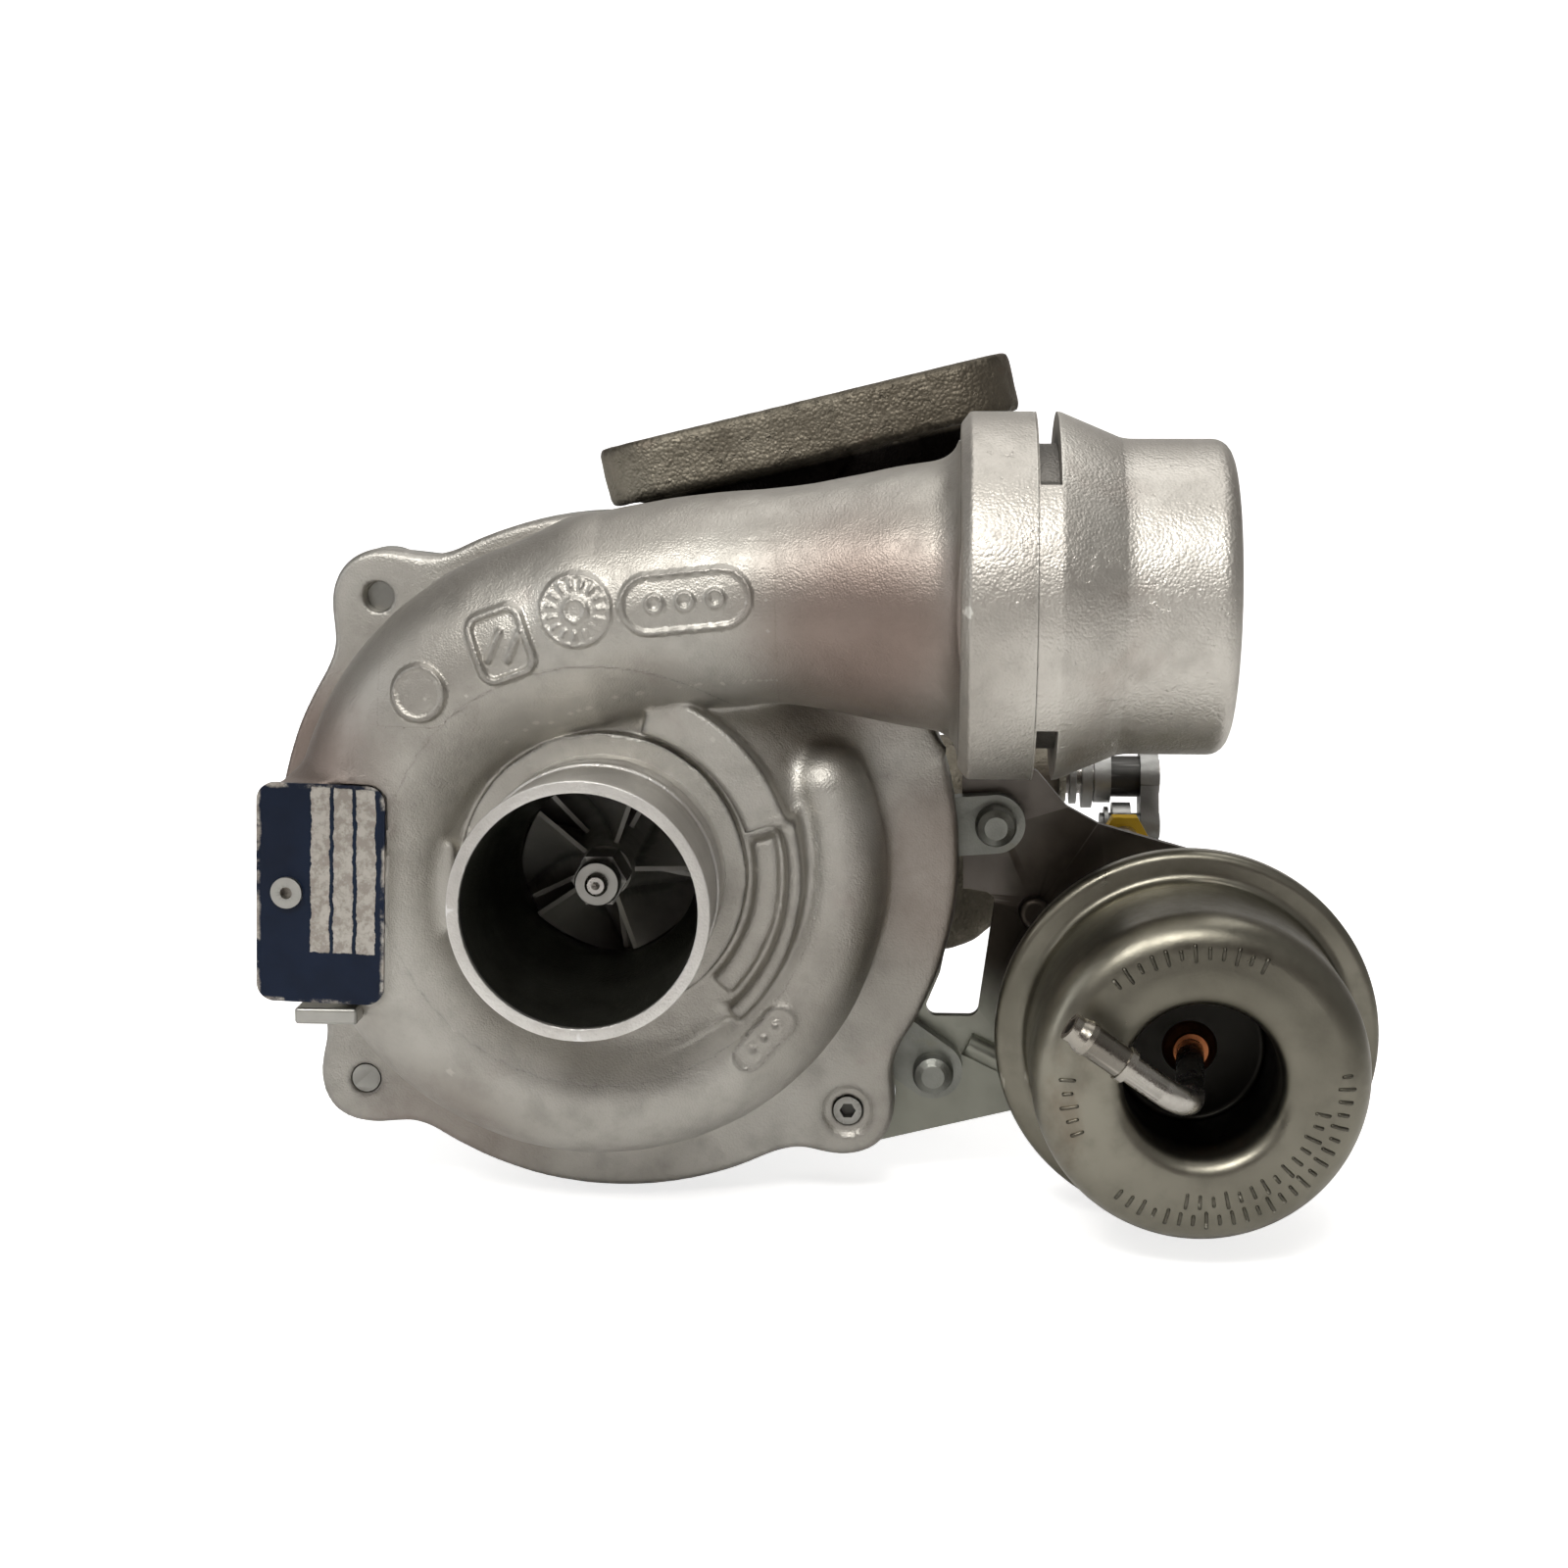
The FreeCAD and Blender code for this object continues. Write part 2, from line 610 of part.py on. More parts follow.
def turbine_hub(s):
    """Hub line of the turbine wheel, (y, radius), from the rim to the exit."""
    t = math.radians(90 * s)
    return TURBINE_BACK_Y + 1.2 + 16.6 * (1 - math.cos(t)), TURBINE_R - 13.2 * math.sin(t)


def turbine_tip(s):
    """Tip line of the turbine blades, (y, radius)."""
    t = math.radians(90 * s)
    y = TURBINE_TIP_Y + (TURBINE_EXIT_Y - TURBINE_TIP_Y) * (1 - math.cos(t))
    return y, TURBINE_R - (TURBINE_R - TURBINE_EXIT_R) * math.sin(t)


def turbine_twist(s):
    """Degrees that a turbine blade has turned by s."""
    return 48 * s ** 1.8


def turbine_wheel():
    """Heat-proof cast wheel with nine blades and its seal hub."""
    profile = [(88.0, 0), (88.0, 6.9), (TURBINE_BACK_Y, 6.9), (TURBINE_BACK_Y, TURBINE_R)]
    profile += [turbine_hub(i / 12) for i in range(13)]
    profile += [(115.5, 5.4), (115.5, 0)]
    wheel = turned(profile)

    def sunk_hub(s):
        y, radius = turbine_hub(s)
        return y - 0.25, radius - 0.25

    blades = []
    for i in range(TURBINE_BLADES):
        blades.append(blade(sunk_hub, turbine_tip, turbine_twist, i * 360 / TURBINE_BLADES, 1.1))
    wheel = wheel.multiFuse(blades)
    nut_end = hexagon(7.0, 115.4, 118.5)
    wheel = wheel.fuse(nut_end)
    groove = tube_y(8, 6.0, 89.6, 91.0)
    return wheel.cut(groove)


def rotor_shaft():
    """Stepped steel shaft with a thin nose for the compressor wheel."""
    profile = [(20.6, 0), (20.6, 1.4), (21.2, NOSE_R), (61.42, NOSE_R), (61.42, 3.0), (66.4, 3.0)]
    profile += [(66.4, SHAFT_R), (75.2, SHAFT_R), (75.2, 3.2), (79.4, 3.2), (79.4, SHAFT_R)]
    profile += [(88.0, SHAFT_R), (88.0, 0)]
    shaft = turned(profile)
    drill = Part.makeCone(0.7, 0.0, 1.0, V(0, 20.6, 0), Y_AXIS)
    return shaft.cut(drill)


# ------------------------------------------------------------------ seals and bearings

def seal_sleeve():
    """Sleeve behind the wheel with a groove for the front piston ring."""
    profile = [(55.05, NOSE_R + 0.02), (55.05, 6.4), (60.0, 6.4), (60.0, 8.5), (61.4, 8.5)]
    profile += [(61.4, NOSE_R + 0.02)]
    return turned(profile).cut(tube_y(8, 5.5, 56.6, 58.0))


def front_piston_ring():
    """Split seal ring in the backplate's bore."""
    return ring_with_gap(6.55, 5.7, 56.75, 57.85, 0.4)


def rear_piston_ring():
    """Split seal ring in the bearing housing's turbine end."""
    return ring_with_gap(7.05, 6.2, 89.75, 90.85, 0.4)


def thrust_bearing():
    """Flat bronze thrust plate held between the backplate and the bearing housing."""
    plate = tube_y(16.0, 4.56, 61.5, 64.0)
    for angle in (90, 210, 330):
        pad = on_circle(6.5, angle)
        plate = plate.cut(bar_y(0.8, 61, 61.9, pad.x, pad.z))
    notch = Part.makeBox(10, 4, 8, V(-5, 61, -17.5))
    return plate.cut(notch)


def thrust_collar():
    """Spool behind the thrust plate, clamped against the shaft's shoulder."""
    front = turned([(61.45, 3.02), (61.45, 4.5), (64.1, 4.5), (64.1, 3.02)])
    flange = turned([(64.1, 3.02), (64.1, 8.5), (66.35, 8.5), (66.35, 3.02)])
    return front.fuse(flange)


def oil_baffle():
    """Sheet cup that keeps oil away from the front seal."""
    return turned([(60.3, 9.4), (60.3, 15.6), (61.35, 15.6), (61.35, 9.4)]).cut(
        Part.makeBox(8, 3, 10, V(-4, 60, -17)))


def journal_bearing(y0):
    """Floating bronze bush with oil holes."""
    bush = tube_y(BUSH_R, SHAFT_R + 0.04, y0, y0 + BUSH_LENGTH)
    middle = y0 + BUSH_LENGTH / 2
    for angle in (0, 60, 120):
        start = on_circle(-8, angle, middle)
        bush = bush.cut(Part.makeCylinder(0.8, 16, start, on_circle(1, angle)))
    return bush


def bearing_circlips():
    """Four snap rings that keep the bushes in place."""
    rings = []
    for y0 in (FRONT_BUSH_Y, REAR_BUSH_Y):
        rings.append(ring_with_gap(6.25, 4.6, y0 - 1.1, y0 - 0.15, 3.0))
        rings.append(ring_with_gap(6.25, 4.6, y0 + BUSH_LENGTH + 0.15, y0 + BUSH_LENGTH + 1.1, 3.0))
    return Part.makeCompound(rings)


def backplate():
    """Plate that closes the scroll, with the ears' outline, a seal bore and lugs for the bracket."""
    back = FLANGE_BACK_Y + BACKPLATE_T
    profile = [(FLANGE_BACK_Y, FLANGE_R), (FLANGE_BACK_Y, 49.7), (53.45, 49.7), (53.45, 21.2)]
    profile += [(54.7, 21.2), (54.7, 12.0), (55.8, 9.5), (55.8, 6.58), (59.7, 6.58), (59.7, 9.0)]
    profile += [(60.3, 9.0), (60.3, 16.5), (back, 17.0), (back, FLANGE_R)]
    plate = turned(profile)
    solids = [ear(angle, FLANGE_BACK_Y, back) for angle in EAR_ANGLES]
    for x, z in LUG_SCREWS:
        inner = V(x, 0, z) * 0.8
        width = V(-z, 0, x).normalize() * 5.2
        corners = [inner + width, V(x, 0, z) + width, V(x, 0, z) - width, inner - width]
        corners = [V(c.x, FLANGE_BACK_Y, c.z) for c in corners]
        web = Part.Face(Part.makePolygon(corners + corners[:1])).extrude(V(0, BACKPLATE_T, 0))
        solids.append(closed(web))
        solids.append(bar_y(5.2, FLANGE_BACK_Y, back, x, z))
    plate = plate.multiFuse(solids)
    plate = plate.cut(scroll(-0.4))
    groove = tube_y(49.75, 47.9, 53.0, 55.6)
    plate = plate.cut(groove)
    for angle in EAR_ANGLES:
        point = on_circle(EAR_PITCH_R, angle)
        plate = plate.cut(bar_y(2.6, 53, 59, point.x, point.z))
    for x, z in LUG_SCREWS:
        plate = plate.cut(bar_y(2.1, 53, 59, x, z))
    for angle in SCREW_ANGLES:
        point = on_circle(SCREW_PITCH_R, angle)
        plate = plate.cut(bar_y(2.15, 53, 59, point.x, point.z))
        plate = plate.cut(bar_y(4.1, 53, 55.0, point.x, point.z))
    return plate


def backplate_screws():
    """Low-head screws that hold the backplate on the bearing housing."""
    screws = []
    for angle in SCREW_ANGLES:
        point = on_circle(SCREW_PITCH_R, angle)
        head = bar_y(4.0, 53.5, 55.0, point.x, point.z)
        head = head.cut(hexagon(2.0, 53, 54.4, point.x, point.z))
        screws.append(head.fuse(bar_y(2.0, 54.6, 62.5, point.x, point.z)))
    return Part.makeCompound(screws)


def backplate_o_ring():
    """Round rubber ring in the backplate's rim groove."""
    ring = Part.makeTorus(48.82, 0.85, V(0, 54.55, 0), Y_AXIS)
    return ring


def at_oil_inlet(solid):
    """Turns a solid drawn along +Z about the rotor's axis, to where the oil inlet points."""
    solid.rotate(ORIGIN, Y_AXIS, -OIL_INLET_TURN)
    return solid


def bearing_housing():
    """Cast iron centre: front flange, bearing bore, oil inlet boss, drain flange and rear flange."""
    front = FLANGE_BACK_Y + BACKPLATE_T
    outer = [(front, 0), (front, CENTRE_FLANGE_R), (CENTRE_FLANGE_END_Y, CENTRE_FLANGE_R)]
    outer += [(CENTRE_FLANGE_END_Y, 33), (67, 29), (71, CENTRE_BODY_R), (80, CENTRE_BODY_R), (83.2, 28)]
    outer += [(REAR_FLANGE_Y, 28), (REAR_FLANGE_Y, REAR_FLANGE_R), (88.0, REAR_FLANGE_R)]
    outer += [(88.0, 24.6), (CENTRE_END_Y, 22.5), (91.4, 10), (91.4, 0)]
    body = turned(outer)
    inlet_boss = at_oil_inlet(Part.makeCylinder(OIL_BOSS_R, OIL_INLET_Z - 10, V(0, OIL_Y, 10), Z_AXIS))
    drain_boss = Part.makeCylinder(DRAIN_BOSS_R, -DRAIN_Z - 10, V(0, OIL_Y, DRAIN_Z), Z_AXIS)
    half = DRAIN_SPACING / 2
    flange = plate_z([(-half - 7, OIL_Y - 8.3), (half + 7, OIL_Y - 8.3), (half + 7, OIL_Y + 8.3),
                      (-half - 7, OIL_Y + 8.3)], 6.0, DRAIN_Z, DRAIN_Z + DRAIN_FLANGE_T)
    body = body.multiFuse([inlet_boss, drain_boss, flange])
    core = [(front - 1, 0), (front - 1, 17.0), (61.45, 17.0), (61.45, 16.05), (64.05, 16.05), (64.05, 11)]
    core += [(67.2, 11), (67.2, BEARING_BORE_R), (86.8, BEARING_BORE_R), (86.8, 7.08), (92, 7.08), (92, 0)]
    cuts = [turned(core)]
    for y0 in (FRONT_BUSH_Y, REAR_BUSH_Y):
        cuts.append(bar_y(6.3, y0 - 1.15, y0 - 0.1))
        cuts.append(bar_y(6.3, y0 + BUSH_LENGTH + 0.1, y0 + BUSH_LENGTH + 1.15))
    cuts.append(Part.makeCylinder(DRAIN_R, 34, V(0, OIL_Y, DRAIN_Z - 1), Z_AXIS))
    cuts.append(Part.makeCylinder(2.2, 9, V(0, 77.2, -10.0), Z_AXIS))
    cuts.append(at_oil_inlet(Part.makeCylinder(OIL_INLET_R, 13, V(0, OIL_Y, OIL_INLET_Z - 12), Z_AXIS)))
    cuts.append(at_oil_inlet(Part.makeCylinder(1.6, 24, V(0, OIL_Y, 4), Z_AXIS)))
    drain_way = Part.makeBox(14, 12, 12, V(-7, 59, -19))
    cuts.append(drain_way.common(bar_y(24, 58, 72)))
    for side in (-1, 1):
        cuts.append(Part.makeCylinder(DRAIN_HOLE_R, 9, V(side * half, OIL_Y, DRAIN_Z - 1), Z_AXIS))
    for angle in SCREW_ANGLES:
        point = on_circle(SCREW_PITCH_R, angle)
        cuts.append(bar_y(2.0, 57, 62.7, point.x, point.z))
    for cut in cuts:
        body = body.cut(cut)
    return body


def oil_inlet_fitting():
    """Hexagonal oil feed adapter screwed into the inlet boss."""
    hexa = hexagon(17.0, 0, 8)
    hexa.rotate(ORIGIN, X_AXIS, 90)
    hexa.translate(V(0, OIL_Y, OIL_INLET_Z + 1.5))
    stem = Part.makeCylinder(OIL_INLET_R - 0.05, 10, V(0, OIL_Y, OIL_INLET_Z - 8.5), Z_AXIS)
    tip = Part.makeCylinder(6.0, 6, V(0, OIL_Y, OIL_INLET_Z + 9.4), Z_AXIS)
    body = hexa.multiFuse([stem, tip])
    body = body.cut(Part.makeCylinder(OIL_WAY_R, 40, V(0, OIL_Y, OIL_INLET_Z - 10), Z_AXIS))
    mouth = OIL_INLET_Z + 15.4 - OIL_THREAD_L
    return at_oil_inlet(body.cut(Part.makeCylinder(OIL_THREAD_R, 20, V(0, OIL_Y, mouth), Z_AXIS)))


def oil_inlet_washer():
    """Copper sealing washer under the oil feed adapter."""
    ring = Part.makeCylinder(8.0, 1.4, V(0, OIL_Y, OIL_INLET_Z + 0.05), Z_AXIS)
    way = Part.makeCylinder(OIL_INLET_R + 0.1, 4, V(0, OIL_Y, OIL_INLET_Z - 1), Z_AXIS)
    return at_oil_inlet(ring.cut(way))


def heat_shield():
    """Dished steel shield between the bearing housing and the turbine wheel."""
    profile = [(88.2, 29.8), (89.2, 29.8), (89.2, 25.6), (92.9, 22.0), (92.9, 7.6), (92.2, 7.6)]
    profile += [(92.2, 21.7), (88.2, 25.2)]
    return turned(profile)


# ------------------------------------------------------------------ turbine housing

def turbine_station(wrap, inset):
    """Gas scroll section at wrap 0 (inlet, right side) to 1 (tongue)."""
    angle = -300 * wrap
    radius = 16.0 - 8.5 * wrap
    centre = on_circle(35.5 - 3.0 * wrap, angle, TURBINE_SCROLL_Y)
    return circle_section(centre, on_circle(1.0, angle - 90), radius - inset)


def turbine_scroll(inset):
    """Gas scroll as one lofted solid."""
    return closed(Part.makeLoft([turbine_station(i / 11, inset) for i in range(12)], True, False))


def inlet_normal():
    """Direction square to the turbine inlet flange, outwards."""
    tilt = math.radians(INLET_TILT)
    return V(-math.sin(tilt), 0, math.cos(tilt))


def inlet_duct(inset, overrun):
    """Duct from the tilted inlet flange down into the gas scroll."""
    normal = inlet_normal()
    wires = [circle_section(INLET_TOP + normal * overrun, normal * -1, INLET_BORE_TOP_R + 3.6 - inset)]
    wires.append(circle_section(INLET_TOP - normal * 22, normal * -1, 18.6 - inset))
    wires.append(circle_section(V(35.5, TURBINE_SCROLL_Y - 0.5, 26), Z_AXIS * -1, 16.6 - inset))
    wires.append(circle_section(V(35.5, TURBINE_SCROLL_Y, 0), Z_AXIS * -1, 16.0 - inset))
    return closed(Part.makeLoft(wires, True, False))


def in_inlet_plane(solid):
    """Moves a solid drawn flat, top face at Z 0 and centred on the origin, to the inlet flange."""
    solid.rotate(ORIGIN, Y_AXIS, -INLET_TILT)
    solid.translate(INLET_TOP)
    return solid


def inlet_flange():
    """Triangular three-bolt plate with rounded corners."""
    corner = INLET_PCD / 2 + 2 * INLET_CORNER_R
    outline = []
    for angle in (90, 210, 330):
        point = on_circle(corner, angle)
        outline.append((point.x, point.z))
    return in_inlet_plane(plate_z(outline, INLET_CORNER_R, -INLET_FLANGE_T, 0))


def inlet_holes():
    """Stud holes of the inlet flange."""
    holes = []
    for angle in (90, 210, 330):
        point = on_circle(INLET_PCD / 2, angle)
        hole = Part.makeCylinder(INLET_HOLE_R, 30, V(point.x, point.z, -15), Z_AXIS)
        holes.append(in_inlet_plane(hole))
    return holes


def turbine_shroud(gap):
    """Curve over the turbine blades' tips, (y, radius), from the exit to the rim, with a gap."""
    points = []
    for i in range(9):
        y, radius = turbine_tip(1 - i / 8)
        points.append((y + gap * i / 8, radius + gap))
    return points


def outlet_holes():
    """Threaded holes of the outlet flange."""
    holes = []
    for i in range(4):
        point = OUTLET_CENTRE + on_circle(OUTLET_PCD / 2, 45 + 90 * i)
        holes.append(bar_y(OUTLET_HOLE_R, 134, 146, point.x, point.z))
    return holes


def outlet_flange():
    """Plate with four rounded corners round the turbine outlet."""
    ears = []
    for i in range(4):
        point = OUTLET_CENTRE + on_circle(OUTLET_PCD / 2, 45 + 90 * i)
        ears.append((point.x, point.z))
    reach = 8.0
    outline = [(x + math.copysign(reach, x - OUTLET_CENTRE.x), z + math.copysign(reach, z - OUTLET_CENTRE.z))
               for x, z in ears]
    return plate_y(outline, reach, 135.0, OUTLET_FACE_Y)


def turbine_casting():
    """Cast iron gas casing: inlet flange and duct, scroll, wastegate port, outlet chamber and flange."""
    outer = [(86.2, 33.4), (86.2, 43.0), (93.0, 43.0), (95, 36), (TURBINE_SCROLL_Y, 34)]
    outer += [(111, 30), (CHAMBER_Y, 24.5), (118.5, 24.5), (118.5, 0), (86.2, 0)]
    body = turned(outer)
    solids = [turbine_scroll(0), inlet_duct(0, 0), inlet_flange()]
    solids.append(stadium(CHAMBER_OUT, CHAMBER_Y, OUTLET_FACE_Y - 1))
    solids.append(outlet_flange())
    solids.append(bar_x(8.0, 40, 80, SPINDLE.y, SPINDLE.z))
    solids.append(bar_y(LOBE_R, LOBE_Y[0], LOBE_Y[1], *LOBE))
    body = body.multiFuse(solids)
    wheel_room = [(85, 0), (85, 33.3), (88.15, 33.3), (88.15, 30.0), (93.2, 30.0), (93.2, 22.5)]
    wheel_room += [(94.2, 22.5), (99.0, 30.0), (TURBINE_TIP_Y + WHEEL_GAP, 30.0)]
    wheel_room += list(reversed(turbine_shroud(WHEEL_GAP))) + [(116.5, TURBINE_EXIT_R + 0.4)]
    wheel_room += [(116.5, 0)]
    below = inlet_duct(TURBINE_WALL, 1.0).cut(above_inlet_flange())
    cuts = [turned(wheel_room), turbine_scroll(TURBINE_WALL), below]
    chamber = stadium(CHAMBER_IN, 115.0, OUTLET_FACE_Y + 1)
    seat = bar_y(FLAP_R + 0.6, 110, SEAT_Y, FLAP_X, FLAP_Z)
    cuts.append(chamber.cut(seat))
    cuts.append(bar_y(PORT_R, 104, 119, FLAP_X, FLAP_Z))
    cuts.append(bar_x(SPINDLE_R + 1.75, 34, 82, SPINDLE.y, SPINDLE.z))
    cuts.append(bar_y(CLAMP_ROOM_R, 76, 86.18))
    port = Part.makeCylinder(INLET_BORE_TOP_R, INLET_FLANGE_T + 1, V(0, 0, -INLET_FLANGE_T), Z_AXIS)
    cuts.append(in_inlet_plane(port))
    cuts += inlet_holes()
    cuts += outlet_holes()
    for angle in CLAMP_ANGLES:
        point = on_circle(CLAMP_PITCH_R, angle)
        cuts.append(bar_y(2.5, 85, 93.5, point.x, point.z))
    for cut in cuts:
        body = body.cut(cut)
    return body


def above_inlet_flange():
    """Everything above the underside of the inlet flange."""
    return in_inlet_plane(Part.makeBox(160, 160, 30, V(-80, -80, -INLET_FLANGE_T)))


def inlet_gussets():
    """Cast webs that carry the inlet flange on each side of the duct."""
    top, foot = GUSSET_HALF
    corners = [(-top, -INLET_FLANGE_T), (top, -INLET_FLANGE_T), (foot, -GUSSET_FOOT), (-foot, -GUSSET_FOOT)]
    points = [V(u, GUSSET_Y[0] - INLET_TOP.y, out) for u, out in corners]
    web = Part.Face(Part.makePolygon(points + points[:1])).extrude(V(0, GUSSET_Y[1] - GUSSET_Y[0], 0))
    return in_inlet_plane(closed(web)).cut(inlet_duct(0, 0))


def turbine_blocks():
    """The casing in four blocks that meet face to face: scroll, inlet duct, inlet flange, outlet end."""
    casting = turbine_casting()
    above = above_inlet_flange()
    outlet_room = Part.makeBox(200, 40, 200, V(-100, OUTLET_BLOCK_Y, -100))
    duct_room = Part.makeBox(120, 120, 60, V(-40, 0, DUCT_FOOT_Z)).cut(above)
    flange_block = casting.common(above)
    scroll_block = casting.cut(above)
    outlet_block = scroll_block.common(outlet_room)
    scroll_block = scroll_block.cut(outlet_room)
    return scroll_block.cut(duct_room), scroll_block.common(duct_room), flange_block, outlet_block


def clamp_plates():
    """Four curved plates that press the bearing housing's rear flange into the turbine housing."""
    plates = []
    for middle in (45, 135, 225, 315):
        plate = wedge(29.0, 42.4, middle - 38, middle + 38, 82.4, 84.9)
        rim = wedge(33.6, 42.4, middle - 38, middle + 38, 84.9, 86.15)
        plate = plate.fuse(rim)
        for angle in CLAMP_ANGLES:
            point = on_circle(CLAMP_PITCH_R, angle)
            plate = plate.cut(bar_y(2.6, 80, 90, point.x, point.z))
        plates.append(plate)
    return Part.makeCompound(plates)


def clamp_bolts():
    """Eight hexagon screws through the clamp plates."""
    bolts = []
    for angle in CLAMP_ANGLES:
        point = on_circle(CLAMP_PITCH_R, angle)
        head = hexagon(7.0, 79.0, 82.35, point.x, point.z, angle)
        bolts.append(head.fuse(bar_y(2.45, 82.0, 93.0, point.x, point.z)))
    return Part.makeCompound(bolts)


# ------------------------------------------------------------------ wastegate

def wastegate_bush():
    """Long steel bush that carries the spindle."""
    return tube_x(SPINDLE_R + 1.7, SPINDLE_BORE_R, 42.0, 81.4, SPINDLE.y, SPINDLE.z)


def wastegate_spindle():
    """Spindle with its inner arm, which holds the flap."""
    shaft = bar_x(SPINDLE_R, 26.5, ARM_X[1] + 0.4, SPINDLE.y, SPINDLE.z)
    hub = bar_x(4.6, 27.0, 35.6, SPINDLE.y, SPINDLE.z)
    arm = Part.makeBox(7.0, 3.2, SPINDLE.z - FLAP_Z, V(FLAP_X - 3.5, 121.8, FLAP_Z))
    eye = bar_y(4.6, 121.8, 125.0, FLAP_X, FLAP_Z)
    body = shaft.multiFuse([hub, arm, eye])
    return body.cut(bar_y(2.3, 120, 127, FLAP_X, FLAP_Z))


def wastegate_flap():
    """Round valve with a stem that passes through the arm."""
    disc = turned([(SEAT_Y + 0.05, 0), (SEAT_Y + 0.05, FLAP_R), (120.8, FLAP_R), (121.7, FLAP_R - 0.9),
                   (121.7, 2.2), (125.2, 2.2), (125.2, 0)], FLAP_X, FLAP_Z)
    return disc.fuse(bar_y(2.2, 125.0, 127.4, FLAP_X, FLAP_Z))


def flap_washer():
    """Washer riveted on the flap's stem."""
    return tube_y(4.4, 2.25, 125.1, 126.6, FLAP_X, FLAP_Z)


def spindle_washers():
    """Two washers between the bush and the lever."""
    near = tube_x(5.6, SPINDLE_R + 0.05, 82.2, 83.5, SPINDLE.y, SPINDLE.z)
    far = tube_x(6.4, SPINDLE_R + 0.05, 84.6, 86.6, SPINDLE.y, SPINDLE.z)
    return Part.makeCompound([near, far])


def pin_centre():
    """Centre of the lever's pin, as (y, z), with the flap closed."""
    lag = math.radians(LEVER_LAG)
    return SPINDLE.y - LEVER_ARM * math.sin(lag), SPINDLE.z - LEVER_ARM * math.cos(lag)


def wastegate_lever():
    """Crank on the spindle's outer end: hub, neck and arm."""
    y, z = pin_centre()
    hub = bar_x(5.3, HUB_X[0], HUB_X[1], SPINDLE.y, SPINDLE.z)
    neck = bar_x(4.1, HUB_X[0] + 1, ARM_X[0] + 1, SPINDLE.y, SPINDLE.z)
    top = bar_x(5.4, ARM_X[0], ARM_X[1], SPINDLE.y, SPINDLE.z)
    end = bar_x(4.6, ARM_X[0], ARM_X[1], y, z)
    along = V(0, y - SPINDLE.y, z - SPINDLE.z)
    across = V(0, -along.z, along.y).normalize() * 4.6
    start = V(ARM_X[0], SPINDLE.y, SPINDLE.z)
    corners = [start + across, start + along + across, start + along - across, start - across]
    web = Part.Face(Part.makePolygon(corners + corners[:1])).extrude(V(ARM_X[1] - ARM_X[0], 0, 0))
    body = hub.multiFuse([neck, top, end, closed(web)])
    body = body.cut(bar_x(SPINDLE_R + 0.02, 80, 100, SPINDLE.y, SPINDLE.z))
    return body.cut(bar_x(PIN_R + 0.02, 90, 100, y, z))


def lever_pin():
    """Pin riveted in the lever, with a groove for its clip."""
    y, z = pin_centre()
    pin = bar_x(PIN_R, 88.2, ARM_X[1] + 0.4, y, z)
    return pin.cut(tube_x(4, 1.9, 89.0, 89.9, y, z))


def lever_clip():
    """Snap ring on the end of the lever's pin."""
    y, z = pin_centre()
    ring = tube_x(3.7, 1.95, 89.05, 89.85, y, z)
    gap = Part.makeBox(3, 2.4, 6, V(88.0, y - 1.2, z - 7))
    return ring.cut(gap)


# ------------------------------------------------------------------ actuator

def can_solid(profile):
    """Turned part on the actuator's axis."""
    return turned(profile, CAN.x, CAN.z)


def dome_profile(inset):
    """Outside of the front can from the recess floor to the crimp, (y, radius), moved in by the inset."""
    points = [(RECESS_Y + inset, 0.0)]
    recess = RECESS_R + inset
    points.append((RECESS_Y + inset, recess))
    face = CAN_FRONT_Y + inset
    for i in range(5):
        t = math.radians(90 * i / 4)
        points.append((face + 3.5 - 3.5 * math.sin(t), recess + 3.5 - 3.5 * math.cos(t)))
    outer = CAN_R - inset
    for i in range(7):
        t = math.radians(90 * i / 6)
        points.append((face + 8 - 8 * math.cos(t), outer - 8 + 8 * math.sin(t)))
    return points


def actuator_front_can():
    """Pressed front can: deep dome with a central well, and a rolled crimp round the rim."""
    outer = dome_profile(0) + [(37.4, CAN_R), (38.2, CAN_R + 1), (38.2, CRIMP_R - 1), (39.2, CRIMP_R)]
    outer += [(41.8, CRIMP_R), (42.6, CRIMP_R - 1), (42.6, 29.2), (41.5, 29.2), (41.5, 31.0)]
    inner = [(39.3, 31.0), (39.3, CAN_R - SHEET)]
    inner += list(reversed(dome_profile(SHEET)))[:-1]
    inner += [(RECESS_Y + SHEET, 0.0)]
    return can_solid(outer + inner).cut(nipple_solid(NIPPLE_R + 0.02))


def actuator_rear_can():
    """Pressed rear can that holds the spring, with a hole for the rod guide."""
    outer = [(40.4, 30.9), (41.4, 30.9), (41.4, 28.3), (CAN_BACK_Y - 4, 27.6), (CAN_BACK_Y - 1.2, 26.4)]
    outer += [(CAN_BACK_Y, 23.6), (CAN_BACK_Y, 6.0)]
    inner = [(CAN_BACK_Y - SHEET, 6.0), (CAN_BACK_Y - SHEET, 23.2), (CAN_BACK_Y - 2.2, 25.4)]
    inner += [(CAN_BACK_Y - 4.4, 26.4), (40.4, 27.1)]
    body = can_solid(outer + inner)
    for x, z in stud_places():
        body = body.cut(bar_y(2.5, CAN_BACK_Y - 3, CAN_BACK_Y + 1, x, z))
    return body


def actuator_diaphragm():
    """Moulded rubber diaphragm with one rolled fold."""
    outer = [(40.3, 30.9), (40.3, 24.6), (37.9, 24.3), (37.2, 23.5), (37.4, 22.2), (37.4, 6.0)]
    inner = [(36.4, 6.0), (36.4, 21.8), (35.8, 23.2), (36.4, 25.1), (39.4, 25.6), (39.4, 30.9)]
    return can_solid(outer + inner)


